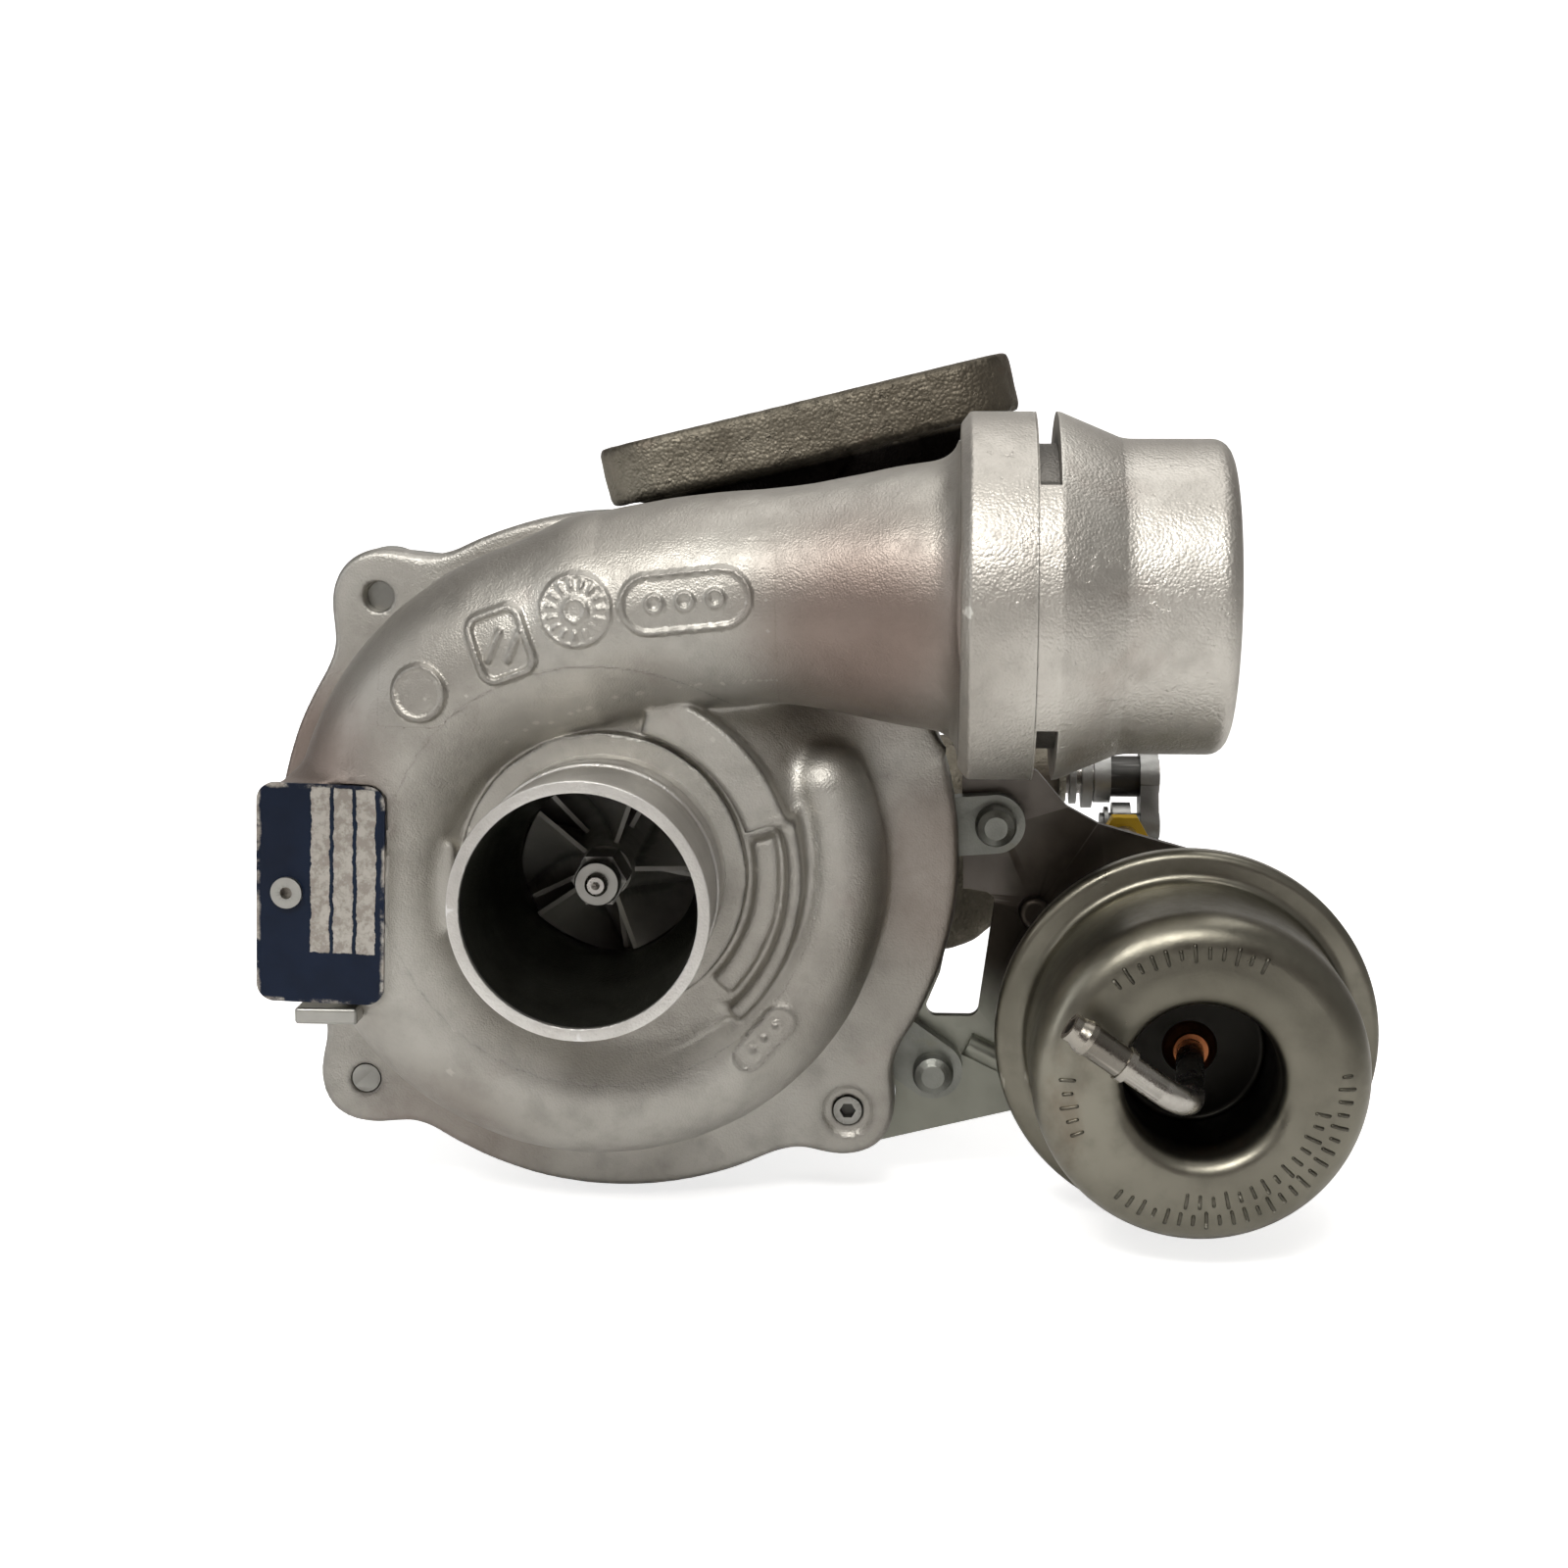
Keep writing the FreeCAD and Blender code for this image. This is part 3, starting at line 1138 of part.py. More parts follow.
def spring_cup():
    """Pressed piston that the spring and the diaphragm bear on."""
    outer = [(37.5, ROD_R + 0.02), (37.5, 21.0), (44.0, 21.0), (44.0, 19.8), (38.7, 19.8)]
    outer += [(38.7, ROD_R + 0.02)]
    return can_solid(outer)


def actuator_spring():
    """Coil spring between the piston and the rear can: short runs joined by arcs, turn after turn."""
    low = 38.8 + SPRING_WIRE_R
    high = CAN_BACK_Y - SHEET - SPRING_WIRE_R - 0.1
    steps = int(SPRING_TURNS * SPRING_STEPS)
    half_step = math.pi / SPRING_STEPS
    corner_r = SPRING_R / math.cos(half_step)
    points = []
    for i in range(steps + 1):
        turn = 2 * half_step * i
        y = low + (high - low) * i / steps
        points.append(V(CAN.x + corner_r * math.cos(turn), y, CAN.z + corner_r * math.sin(turn)))
    return bent_tube(points, [SPRING_R * 0.95] * (steps - 1), SPRING_WIRE_R)


def actuator_rod():
    """Steel rod from the piston, cranked up to the wastegate lever."""
    y, z = pin_centre()
    points = [V(CAN.x, 36.2, CAN.z), V(CAN.x, 80.0, CAN.z), V(ROD_X, 99.0, z - 0.4)]
    points.append(V(ROD_X, y - 4.0, z - 0.4))
    rod = bent_tube(points, (9.0, 9.0), ROD_R)
    return rod.fuse(can_solid([(35.0, 0), (35.0, 5.0), (36.35, 5.0), (36.35, 0)]))


def rod_eye():
    """Eye on the rod's end with an upright slot for the lever's pin, and a threaded shank."""
    y, z = pin_centre()
    middle = z - 0.4
    eye = bar_x(EYE_R, EYE_X[0], EYE_X[1], y, middle)
    shank = bar_y(3.5, y - 8.6, y - 3.0, ROD_X, middle)
    flats = Part.makeBox(EYE_X[1] - EYE_X[0], 12, 10, V(EYE_X[0], y - 10, middle - 5))
    body = eye.fuse(shank.common(flats))
    body = body.fuse(bar_y(3.5, y - 8.6, y - 5.2, ROD_X, middle))
    slot = [bar_x(PIN_R + 0.05, 89, 96, y, middle + 0.45)]
    slot.append(bar_x(PIN_R + 0.05, 89, 96, y, middle - 0.45))
    slot.append(Part.makeBox(7, 2 * PIN_R + 0.1, 0.9, V(89, y - PIN_R - 0.05, middle - 0.45)))
    for cut in slot:
        body = body.cut(cut)
    return body.cut(bar_y(ROD_R + 0.02, y - 12, y - 3.8, ROD_X, middle))


def rod_lock_nut():
    """Hexagon nut, painted, that locks the eye on the rod."""
    y, z = pin_centre()
    nut = hexagon(8.2, y - 12.6, y - 8.65, ROD_X, z - 0.4)
    return nut.cut(bar_y(ROD_R + 0.02, y - 14, y - 8, ROD_X, z - 0.4))


def rod_guide():
    """Bush in the rear can that guides the rod."""
    body = tube_y(5.95, ROD_R + 0.06, CAN_BACK_Y - 3.0, CAN_BACK_Y + 4.6, CAN.x, CAN.z)
    return body.fuse(tube_y(8.0, ROD_R + 0.06, CAN_BACK_Y - 3.0, CAN_BACK_Y - 1.25, CAN.x, CAN.z))


def stud_places():
    """Where the two actuator studs stand, as (x, z)."""
    arm = V(0.8, 0, -0.6) * STUD_SPREAD
    return [(CAN.x + arm.x, CAN.z + arm.z), (CAN.x - arm.x, CAN.z - arm.z)]


def actuator_studs():
    """Two weld studs on the rear can that pass through the bracket."""
    studs = []
    for x, z in stud_places():
        stud = bar_y(STUD_R, CAN_BACK_Y - 1.9, 68.0, x, z)
        studs.append(stud.fuse(bar_y(4.2, CAN_BACK_Y - 2.6, CAN_BACK_Y - 1.25, x, z)))
    return Part.makeCompound(studs)


def actuator_nuts():
    """Flange nuts on the actuator studs."""
    nuts = []
    top = BRACKET_Y + BRACKET_T
    for x, z in stud_places():
        nut = hexagon(8.0, top + 0.05, top + 5.0, x, z).fuse(bar_y(5.6, top + 0.05, top + 1.2, x, z))
        nuts.append(nut.cut(bar_y(STUD_R + 0.02, 55, 70, x, z)))
    return Part.makeCompound(nuts)


def nipple_solid(radius):
    """Bent pressure tube as a plain bar."""
    return bent_tube(list(NIPPLE_PATH), (6.5,), radius)


def pressure_nipple():
    """Bent tube with a barbed hose end."""
    tube = nipple_solid(NIPPLE_R)
    tip = NIPPLE_PATH[2]
    back = (NIPPLE_PATH[1] - tip).normalize()
    solids = [Part.makeCone(2.0, 2.85, 2.4, tip + back * 0.4, back)]
    solids.append(Part.makeCylinder(2.85, 1.0, tip + back * 2.8, back))
    solids.append(Part.makeCylinder(2.6, 6.4, tip + back * 3.8, back))
    solids.append(Part.makeCylinder(2.95, 1.2, tip + back * 10.2, back))
    return tube.multiFuse(solids).cut(nipple_solid(1.3))


def braze_ring():
    """Copper braze fillet round the tube in the can's well."""
    ring = can_solid([(RECESS_Y, 0), (RECESS_Y, 4.6), (32.4, 4.2), (31.2, 3.1), (30.6, 2.9), (30.6, 0)])
    return ring.cut(nipple_solid(NIPPLE_R + 0.02))


# ------------------------------------------------------------------ bracket

def actuator_bracket():
    """Pressed steel bracket with a window, behind the actuator."""
    back = BRACKET_Y + BRACKET_T
    sheet = plate_y(BRACKET_OUTLINE, 1.6, BRACKET_Y + 0.05, back)
    rib = Part.makeCylinder(RIB_R, (RIB[1] - RIB[0]).Length, RIB[0], RIB[1] - RIB[0])
    pin = bar_y(LOCATING_PIN_R, BRACKET_Y - 2.6, back, *LOCATING_PIN)
    sheet = sheet.multiFuse([rib, pin.makeFillet(1.2, [pin.Edges[2]])])
    sheet = sheet.cut(plate_y(BRACKET_WINDOW, 1.8, BRACKET_Y - 1, back + 1))
    sheet = sheet.cut(bar_y(6.6, 50, 70, CAN.x, CAN.z))
    for x, z in stud_places():
        sheet = sheet.cut(bar_y(2.6, 50, 70, x, z))
    for x, z in LUG_SCREWS:
        sheet = sheet.cut(bar_y(2.1, 50, 70, x, z))
    for angle in (42, 312):
        point = on_circle(EAR_PITCH_R, angle)
        sheet = sheet.cut(bar_y(8.2, 50, 70, point.x, point.z))
    return sheet


def bracket_screws():
    """Two round-headed screws through the backplate's lugs into the bracket."""
    screws = []
    for x, z in LUG_SCREWS:
        head = turned([(49.4, 0), (49.4, 2.0), (50.3, 3.2), (51.6, 3.6), (54.0, 3.6), (54.0, 0)], x, z)
        screws.append(head.fuse(bar_y(2.0, 53.5, 64.5, x, z)))
    return Part.makeCompound(screws)


def bracket_nuts():
    """Nuts behind the bracket on the two round-headed screws."""
    nuts = []
    top = BRACKET_Y + BRACKET_T
    for x, z in LUG_SCREWS:
        nuts.append(hexagon(7.0, top + 0.05, top + 3.2, x, z).cut(bar_y(2.02, 55, 70, x, z)))
    return Part.makeCompound(nuts)


COMPRESSOR = compressor_blocks()
TURBINE = turbine_blocks()

PARTS = {
    "compressor_housing": lambda: COMPRESSOR[0],
    "inlet_neck": lambda: COMPRESSOR[1],
    "outlet_collar": lambda: COMPRESSOR[2],
    "outlet_tube": lambda: COMPRESSOR[3],
    "compressor_bolts": compressor_bolts,
    "bolt_washers": bolt_washers,
    "compressor_wheel": compressor_wheel,
    "wheel_nut": wheel_nut,
    "nameplate": nameplate,
    "nameplate_rivet": nameplate_rivet,
    "nameplate_tab": nameplate_tab,
    "compressor_backplate": backplate,
    "backplate_screws": backplate_screws,
    "backplate_o_ring": backplate_o_ring,
    "rotor_shaft": rotor_shaft,
    "seal_sleeve": seal_sleeve,
    "front_piston_ring": front_piston_ring,
    "rear_piston_ring": rear_piston_ring,
    "thrust_bearing": thrust_bearing,
    "thrust_collar": thrust_collar,
    "oil_baffle": oil_baffle,
    "front_journal_bearing": lambda: journal_bearing(FRONT_BUSH_Y),
    "rear_journal_bearing": lambda: journal_bearing(REAR_BUSH_Y),
    "bearing_circlips": bearing_circlips,
    "bearing_housing": bearing_housing,
    "oil_inlet_fitting": oil_inlet_fitting,
    "oil_inlet_washer": oil_inlet_washer,
    "heat_shield": heat_shield,
    "turbine_wheel": turbine_wheel,
    "turbine_housing": lambda: TURBINE[0],
    "turbine_duct": lambda: TURBINE[1],
    "turbine_inlet_flange": lambda: TURBINE[2],
    "turbine_outlet_end": lambda: TURBINE[3],
    "inlet_gussets": inlet_gussets,
    "clamp_plates": clamp_plates,
    "clamp_bolts": clamp_bolts,
    "wastegate_bush": wastegate_bush,
    "wastegate_spindle": wastegate_spindle,
    "wastegate_flap": wastegate_flap,
    "flap_washer": flap_washer,
    "spindle_washers": spindle_washers,
    "wastegate_lever": wastegate_lever,
    "lever_pin": lever_pin,
    "lever_clip": lever_clip,
    "actuator_front_can": actuator_front_can,
    "actuator_rear_can": actuator_rear_can,
    "actuator_diaphragm": actuator_diaphragm,
    "spring_cup": spring_cup,
    "actuator_spring": actuator_spring,
    "actuator_rod": actuator_rod,
    "rod_eye": rod_eye,
    "rod_lock_nut": rod_lock_nut,
    "rod_guide": rod_guide,
    "actuator_studs": actuator_studs,
    "actuator_nuts": actuator_nuts,
    "pressure_nipple": pressure_nipple,
    "braze_ring": braze_ring,
    "actuator_bracket": actuator_bracket,
    "bracket_screws": bracket_screws,
    "bracket_nuts": bracket_nuts,
}

os.makedirs("parts", exist_ok=True)
for node, make in PARTS.items():
    shape = make()
    shape.exportStep(f"parts/{node}.step")
    box = shape.BoundBox
    print(f"{node:24s} solids {len(shape.Solids)} valid {shape.isValid()} volume {shape.Volume:9.1f} "
          f"x {box.XMin:7.1f} {box.XMax:7.1f} y {box.YMin:7.1f} {box.YMax:7.1f} z {box.ZMin:7.1f} {box.ZMax:7.1f}",
          flush=True)
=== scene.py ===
import math

import bpy
import numpy as np
import openvdb
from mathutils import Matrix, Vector


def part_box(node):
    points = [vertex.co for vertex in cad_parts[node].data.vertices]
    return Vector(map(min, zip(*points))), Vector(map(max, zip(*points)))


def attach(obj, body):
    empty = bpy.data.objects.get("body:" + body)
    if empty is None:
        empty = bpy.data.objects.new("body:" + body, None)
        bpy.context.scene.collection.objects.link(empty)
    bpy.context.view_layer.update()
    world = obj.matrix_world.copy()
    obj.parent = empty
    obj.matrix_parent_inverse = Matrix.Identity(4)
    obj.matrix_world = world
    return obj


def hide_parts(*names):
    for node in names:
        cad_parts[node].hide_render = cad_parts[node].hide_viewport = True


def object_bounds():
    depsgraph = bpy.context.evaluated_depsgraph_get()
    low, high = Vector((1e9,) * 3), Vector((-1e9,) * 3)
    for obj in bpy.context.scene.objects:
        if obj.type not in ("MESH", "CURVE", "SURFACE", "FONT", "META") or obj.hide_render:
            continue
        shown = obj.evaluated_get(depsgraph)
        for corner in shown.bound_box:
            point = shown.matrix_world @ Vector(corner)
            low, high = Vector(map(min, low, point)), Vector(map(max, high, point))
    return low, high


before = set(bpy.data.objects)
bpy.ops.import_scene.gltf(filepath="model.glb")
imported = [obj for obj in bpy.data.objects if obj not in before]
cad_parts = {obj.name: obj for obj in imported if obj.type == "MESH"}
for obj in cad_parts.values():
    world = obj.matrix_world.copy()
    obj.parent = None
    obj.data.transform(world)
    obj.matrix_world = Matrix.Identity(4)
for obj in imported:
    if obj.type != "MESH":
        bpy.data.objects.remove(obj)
cad_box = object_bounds()

MM = 0.001

# ---- sizes of the castings, in millimetres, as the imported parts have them; the rotor turns about Y
# compressor: inlet neck, round scroll that grows clockwise from its tongue, flange and hose outlet
RIM_R = 20.7
NECK_R = 20.0
BORE_R = 18.5
THROAT_R = 15.3
LEDGE_Y = 32.5
TONGUE_ANGLE = 20
TONGUE_R = 7.6
SCROLL_SWEEP = 270
SCROLL_R = 38.8
SCROLL_Y = 41.5
SCROLL_GROWTH = 9.2
SCROLL_LEAN = 0.55
PAD_ROOT_Y = 40
PLATE_SEAT_Y = 23.2
PLATE_TURN = 1.9
FLANGE_Y = (46.0, 54.0)
FLANGE_R = 59.5
EAR_PITCH_R = 60.5
EAR_R = 8.0
EAR_ANGLES = (42, 132, 222, 312)
OUTLET_Y = 36.0
OUTLET_Z = 46.4
COLLAR_X = 58.8
COLLAR_BACK = 58.9
COLLAR_R = 30.2
SPIGOT_R = 25.8
SPIGOT_BORE_R = 22.4
SLOT_X = (71.0, 74.4)
WALL = 3.0
BACKPLATE_SEAT_Y = 50.2

# bearing housing: its oil bosses and its two faces
CENTRE_Y = (58, 91)
OIL_Y = 72.5
OIL_LEAN = 14
OIL_TOP = 36
DRAIN_Z = -42

# turbine: gas scroll, tilted inlet flange, outlet flange and wastegate spindle
GAS_FRONT_Y = 86.2
GAS_SCROLL_Y = 103.0
GAS_SCROLL_SWEEP = 300
GAS_SMALL_R = 7.5
GAS_GROWTH = 8.5
GAS_WALL = 3.6
CHAMBER_Y = (104, 143)
OUTLET_BORE_Y = (118, 146)
WASTE_PORT = (31.5, -10.5)
WASTE_PORT_R = 6.0
SHIELD_Y = 88.15
OUTLET_PLATE = (14, -3)
OUTLET_FACE_Y = 144
SPINDLE_Y = 120.0
SPINDLE_Z = 3.4
INLET_TILT = 13.5
INLET_TOP = (30.2, 99.0, 78.0)
INLET_T = 10.8
INLET_PCD = 62.2

# ---- generic marks cast on the scroll's face: middles or ends as (x, z), and radii
BOSS = (-28.6, 31.4)
BOSS_R = 4.7
DIAL = (-2.5, 45.2)
DIAL_R = 6.0
DOTTED_PAD = ((9.4, 46.2), (21.0, 47.4))
DOTTED_PAD_R = 5.0
LOW_PAD = ((24.2, -31.0), (29.6, -25.0))
LOW_PAD_R = 2.6

# ---- finer skins over the compressor casting, in millimetres
SKIN_DEPTH = 1.4
SKIN_SINK = 0.4

# ---- camera, in metres and degrees
CAMERA_PLACE = (0.05472, -0.36934, 0.08012)
CAMERA_AZIMUTH = 3.5
CAMERA_ELEVATION = 9.15
CAMERA_LENS = 56.25


# ------------------------------------------------------------------ distance fields

def smooth_min(a, b, k):
    """Union of two distance fields with a fillet about k wide."""
    h = np.maximum(k - np.abs(a - b), 0.0) / k
    return np.minimum(a, b) - h * h * k * 0.25


def smooth_max(a, b, k):
    """Overlap of two distance fields with an edge rounded about k wide."""
    return -smooth_min(-a, -b, k)


def disc(x, z, cx, cz, radius):
    """Distance to a circle's edge in the XZ plane."""
    return np.hypot(x - cx, z - cz) - radius


def slab(v, low, high):
    """Distance to the space between two parallel planes."""
    return np.maximum(low - v, v - high)


def box2(u, v, cu, cv, hu, hv, corner):
    """Distance to a rounded rectangle."""
    du = np.abs(u - cu) - hu + corner
    dv = np.abs(v - cv) - hv + corner
    outside = np.hypot(np.maximum(du, 0), np.maximum(dv, 0))
    return outside + np.minimum(np.maximum(du, dv), 0) - corner


def segment(x, z, a, b, radius):
    """Distance to a round-ended bar in the XZ plane."""
    dx, dz = b[0] - a[0], b[1] - a[1]
    t = np.clip(((x - a[0]) * dx + (z - a[1]) * dz) / (dx * dx + dz * dz), 0, 1)
    return np.hypot(x - a[0] - t * dx, z - a[1] - t * dz) - radius


def polygon(x, z, corners):
    """Distance to a polygon's edge, negative inside."""
    best = None
    inside = np.zeros(np.broadcast(x, z).shape, bool)
    for (ax, az), (bx, bz) in zip(corners, corners[1:] + corners[:1]):
        edge = segment(x, z, (ax, az), (bx, bz), 0.0)
        best = edge if best is None else np.minimum(best, edge)
        crosses = (az > z) != (bz > z)
        at = ax + (z - az) * (bx - ax) / ((bz - az) or 1e-9)
        inside ^= crosses & (x < at)
    return np.where(inside, -best, best)


def ball(x, y, z, centre, radius):
    """Distance to a sphere."""
    return np.sqrt((x - centre[0]) ** 2 + (y - centre[1]) ** 2 + (z - centre[2]) ** 2) - radius


def turn_of(x, z):
    """Angle about the rotor, in degrees from +X towards +Z."""
    return np.degrees(np.arctan2(z, x))


def between(angle, low, high, radius):
    """Distance to a wedge between two angles, measured along the circle of a radius."""
    middle, half = (low + high) / 2, (high - low) / 2
    off = np.abs((angle - middle + 180) % 360 - 180)
    return (off - half) * math.pi / 180 * radius


def on_circle(radius, degrees):
    """(x, z) of a point at an angle about the rotor."""
    angle = math.radians(degrees)
    return radius * math.cos(angle), radius * math.sin(angle)


def middle_of(node):
    """(x, z) of the middle of a CAD node at rest, in millimetres."""
    low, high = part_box(node)
    return (low.x + high.x) / 2 / MM, (low.z + high.z) / 2 / MM


def ripple(x, y, z, size, seed):
    """Smooth unevenness of a cast surface, from -1 to 1, with lumps about size wide."""
    draw = np.random.default_rng(seed)
    total = 0.0
    for _ in range(7):
        way = draw.normal(size=3)
        way *= 2 * math.pi / size / np.linalg.norm(way) * draw.uniform(0.6, 1.3)
        total = total + np.sin(x * way[0] + y * way[1] + z * way[2] + draw.uniform(0, 6.28))
    return total / 4


def cast(name, field, low, high, step):
    """Mesh of a distance field inside a box, both in millimetres, as an object in metres."""
    x, y, z = (np.arange(a, b, step, dtype=np.float32) for a, b in zip(low, high))
    values = np.empty((len(x), len(y), len(z)), np.float32)
    rows = 32
    for i in range(0, len(x), rows):
        part = x[i:i + rows]
        values[i:i + rows] = field(part[:, None, None], y[None, :, None], z[None, None, :])
    band = 3 * step
    values = np.clip(values, -band, band)
    grid = openvdb.FloatGrid(band)
    grid.copyFromArray(values, tolerance=0.0)
    points, triangles, quads = grid.convertToPolygons(0.0, 0.0)
    points = points * step + np.array(low)
    faces = [tuple(int(i) for i in face) for face in quads]
    faces += [tuple(int(i) for i in face) for face in triangles]
    mesh = bpy.data.meshes.new(name)
    mesh.from_pydata((points * MM).tolist(), [], faces)
    mesh.validate()
    mesh.flip_normals()
    mesh.shade_smooth()
    made = bpy.data.objects.new(name, mesh)
    bpy.context.scene.collection.objects.link(made)
    return made


# ------------------------------------------------------------------ compressor casting

def scroll_field(x, y, z, inset):
    """Growing round scroll and the straight outlet tube, smaller all round by the inset."""
    radius = np.hypot(x, z)
    wrap = (TONGUE_ANGLE - turn_of(x, z)) % 360 / SCROLL_SWEEP
    inner = np.clip(wrap, 0, 1)
    size = TONGUE_R + SCROLL_GROWTH * inner
    tube = np.hypot(radius - SCROLL_R - inner, y - SCROLL_Y + SCROLL_LEAN * (size - TONGUE_R)) - size
    top_x, top_z = on_circle(SCROLL_R + 1.0, TONGUE_ANGLE - SCROLL_SWEEP)
    top_y = SCROLL_Y - SCROLL_LEAN * SCROLL_GROWTH
    top = ball(x, y, z, (top_x, top_y, top_z), TONGUE_R + SCROLL_GROWTH)
    tongue_x, tongue_z = on_circle(SCROLL_R, TONGUE_ANGLE)
    tongue = ball(x, y, z, (tongue_x, SCROLL_Y, tongue_z), TONGUE_R)
    ring = np.where(wrap <= 1, tube, np.minimum(top, tongue))
    tube_end, start_z, start_r, widening = 62, 42.5, 17.7, 4.7
    along = np.clip(x, 0, tube_end)
    rise = 1 - (1 - np.clip(along / 35, 0, 1)) ** 2
    flare = np.clip((along - 26) / 34, 0, 1)
    flare = flare * flare * (3 - 2 * flare)
    across = np.hypot(y - OUTLET_Y, z - start_z - (OUTLET_Z - start_z) * rise)
    outlet = np.hypot(across, x - along) - start_r - widening * flare
    return smooth_min(ring, outlet, 5) + inset


def flange_outline(x, z):
    """Round flange with four ears, in the XZ plane."""
    shape = np.hypot(x, z) - FLANGE_R
    for angle in EAR_ANGLES:
        tip = segment(x, z, on_circle(40, angle), on_circle(EAR_PITCH_R, angle), EAR_R)
        shape = smooth_min(shape, tip, 9)
    return shape


def nameplate_plane(x, z):
    """Places on the nameplate's pad: across and up from its middle, with the plate's small turn."""
    cx, cz = middle_of("nameplate")
    turn = math.radians(PLATE_TURN)
    return ((x - cx) * math.cos(turn) - (z - cz) * math.sin(turn),
            (x - cx) * math.sin(turn) + (z - cz) * math.cos(turn))


def line_in(edge, inset, half_width):
    """True on a line that runs inset from an outline's edge."""
    return np.abs(edge + inset) < half_width


def face_marks(x, z):
    """Height of the marks cast on the scroll's face, in millimetres.

    A round boss, a dial with rays, a tilted shield with two strokes, and two pads with three dots."""
    boss = disc(x, z, *BOSS, BOSS_R)
    height = 0.75 * (boss < 0) + 0.35 * line_in(boss, 0.5, 0.5)
    dial = disc(x, z, *DIAL, DIAL_R)
    ray = (turn_of(x - DIAL[0], z - DIAL[1]) % 24 < 10) & (dial > -2.6) & (dial < -0.9)
    height = height + 0.25 * (dial < 0) + 0.45 * ray + 0.35 * line_in(dial, 0.35, 0.35)
    height = height + 0.5 * line_in(dial, 4.2, 0.45)
    shield = box2(x * 0.94 + z * 0.34 + 0.5, z * 0.94 - x * 0.34 - 42.2, 0, 0, 5.0, 6.0, 2.8)
    height = height + 0.95 * line_in(shield, 0.6, 0.6)
    for side in (-1.6, 1.6):
        height = height + 0.7 * (segment(x, z, (-15.2 + side, 36.9), (-13.4 + side, 41.6), 0.55) < 0)
    height = height + 0.7 * line_in(segment(x, z, *DOTTED_PAD, DOTTED_PAD_R), 0.45, 0.45)
    for k in range(3):
        height = height + 0.6 * line_in(disc(x, z, 10.2 + 4.9 * k, 46.3 + 0.5 * k, 1.3), 0, 0.42)
    height = height + 0.6 * line_in(segment(x, z, *LOW_PAD, LOW_PAD_R), 0.2, 0.4)
    for k in range(3):
        height = height + 0.5 * (disc(x, z, 25.0 + 1.9 * k, -30.0 + 2.1 * k, 0.75) < 0)
    return height


def blurred_marks(x, z):
    """The same marks with sloping sides, as a sand mould leaves them."""
    total = 0.0
    for dx in (-0.2, 0.0, 0.2):
        for dz in (-0.2, 0.0, 0.2):
            total = total + face_marks(x + dx, z + dz)
    return total / 9


def raised(body, y, outline, front_y, corner, fillet):
    """Body with a pad of some outline in the XZ plane, standing forward to front_y."""
    return smooth_min(body, smooth_max(outline, slab(y, front_y, PAD_ROOT_Y), corner), fillet)


def compressor_field(x, y, z):
    """Scroll, flange, pads and the rough front of the compressor housing."""
    radius = np.hypot(x, z)
    angle = turn_of(x, z)
    flange = smooth_max(flange_outline(x, z), slab(y, *FLANGE_Y), 1.6)
    cone = np.maximum(slab(y, 31.8, 53), radius - 31.5 - 1.1 * np.maximum(y - LEDGE_Y, 0))
    body = smooth_min(cone, flange, 4)
    body = smooth_min(body, scroll_field(x, y, z, 0) - 0.8 * blurred_marks(x, z) * (y < 40), 2.4)
    collar = np.maximum(slab(x, COLLAR_X, 62.5), np.hypot(y - OUTLET_Y, z - OUTLET_Z) - 27.4)
    body = smooth_min(body, collar, 5)
    step = np.maximum(slab(y, 29.4, PAD_ROOT_Y), radius - 24.0)
    body = smooth_min(body, step, 0.8)
    sector = np.maximum(between(angle, 17.5, 74.5, 28.5), slab(radius, 25.1, 32.3))
    body = raised(body, y, sector, 27.6, 1.0, 0.9)
    ridge = smooth_max(between(angle, -47, 17.0, 32), slab(radius, 30.9, 33.4), 0.8)
    body = raised(body, y, ridge, 28.7, 1.2, 2.4)
    bank = smooth_max(between(angle, -44, 13.0, 28), slab(radius, 25.4, 29.4), 0.8)
    body = raised(body, y, bank, 30.6, 1.2, 1.0)
    body = raised(body, y, box2(x, z, -29.4, -2.2, 4.6, 7.6, 1.2), 28.9, 1.2, 1.2)
    across, up = nameplate_plane(x, z)
    body = raised(body, y, box2(across, up, 0.6, 0, 9.6, 18.2, 2.5), PLATE_SEAT_Y, 1.5, 3.5)
    seat = np.maximum(box2(across, up, 0, 0, 11.0, 18.7, 3.0), y - PLATE_SEAT_Y)
    body = np.maximum(body, -seat)
    body = body + 0.05 * ripple(x, y, z, 6.0, 3) + 0.012 * ripple(x, y, z, 1.9, 4)
    hollow = scroll_field(x, y, z, WALL)
    body = np.maximum(body, -hollow)
    body = np.maximum(body, -np.maximum(radius - 19.9, y - BACKPLATE_SEAT_Y - 0.1))
    body = np.maximum(body, -np.maximum(radius - 40.0, BACKPLATE_SEAT_Y - y))
    for turn in EAR_ANGLES[1:]:
        ex, ez = on_circle(EAR_PITCH_R, turn)
        body = smooth_max(body, -disc(x, z, ex, ez, 2.6), 0.5)
    ex, ez = on_circle(EAR_PITCH_R, EAR_ANGLES[3])
    spot = np.maximum(disc(x, z, ex, ez, 4.4), y - FLANGE_Y[0] - 0.7)
    body = np.maximum(body, -spot)
    return np.maximum(body, y - FLANGE_Y[1])


def front_zone(x, y, z):
    """The middle of the front, with its pads and ridges."""
    return np.maximum(np.hypot(x, z) - 36.5, y - 38.0)


def marks_zone(x, y, z):
    """The top of the scroll's face, with its cast marks."""
    zone = np.maximum(np.abs(x + 3.0) - 33.0, np.abs(z - 41.0) - 15.5)
    return np.maximum(np.maximum(zone, y - 33.0), 36.0 - np.hypot(x, z))


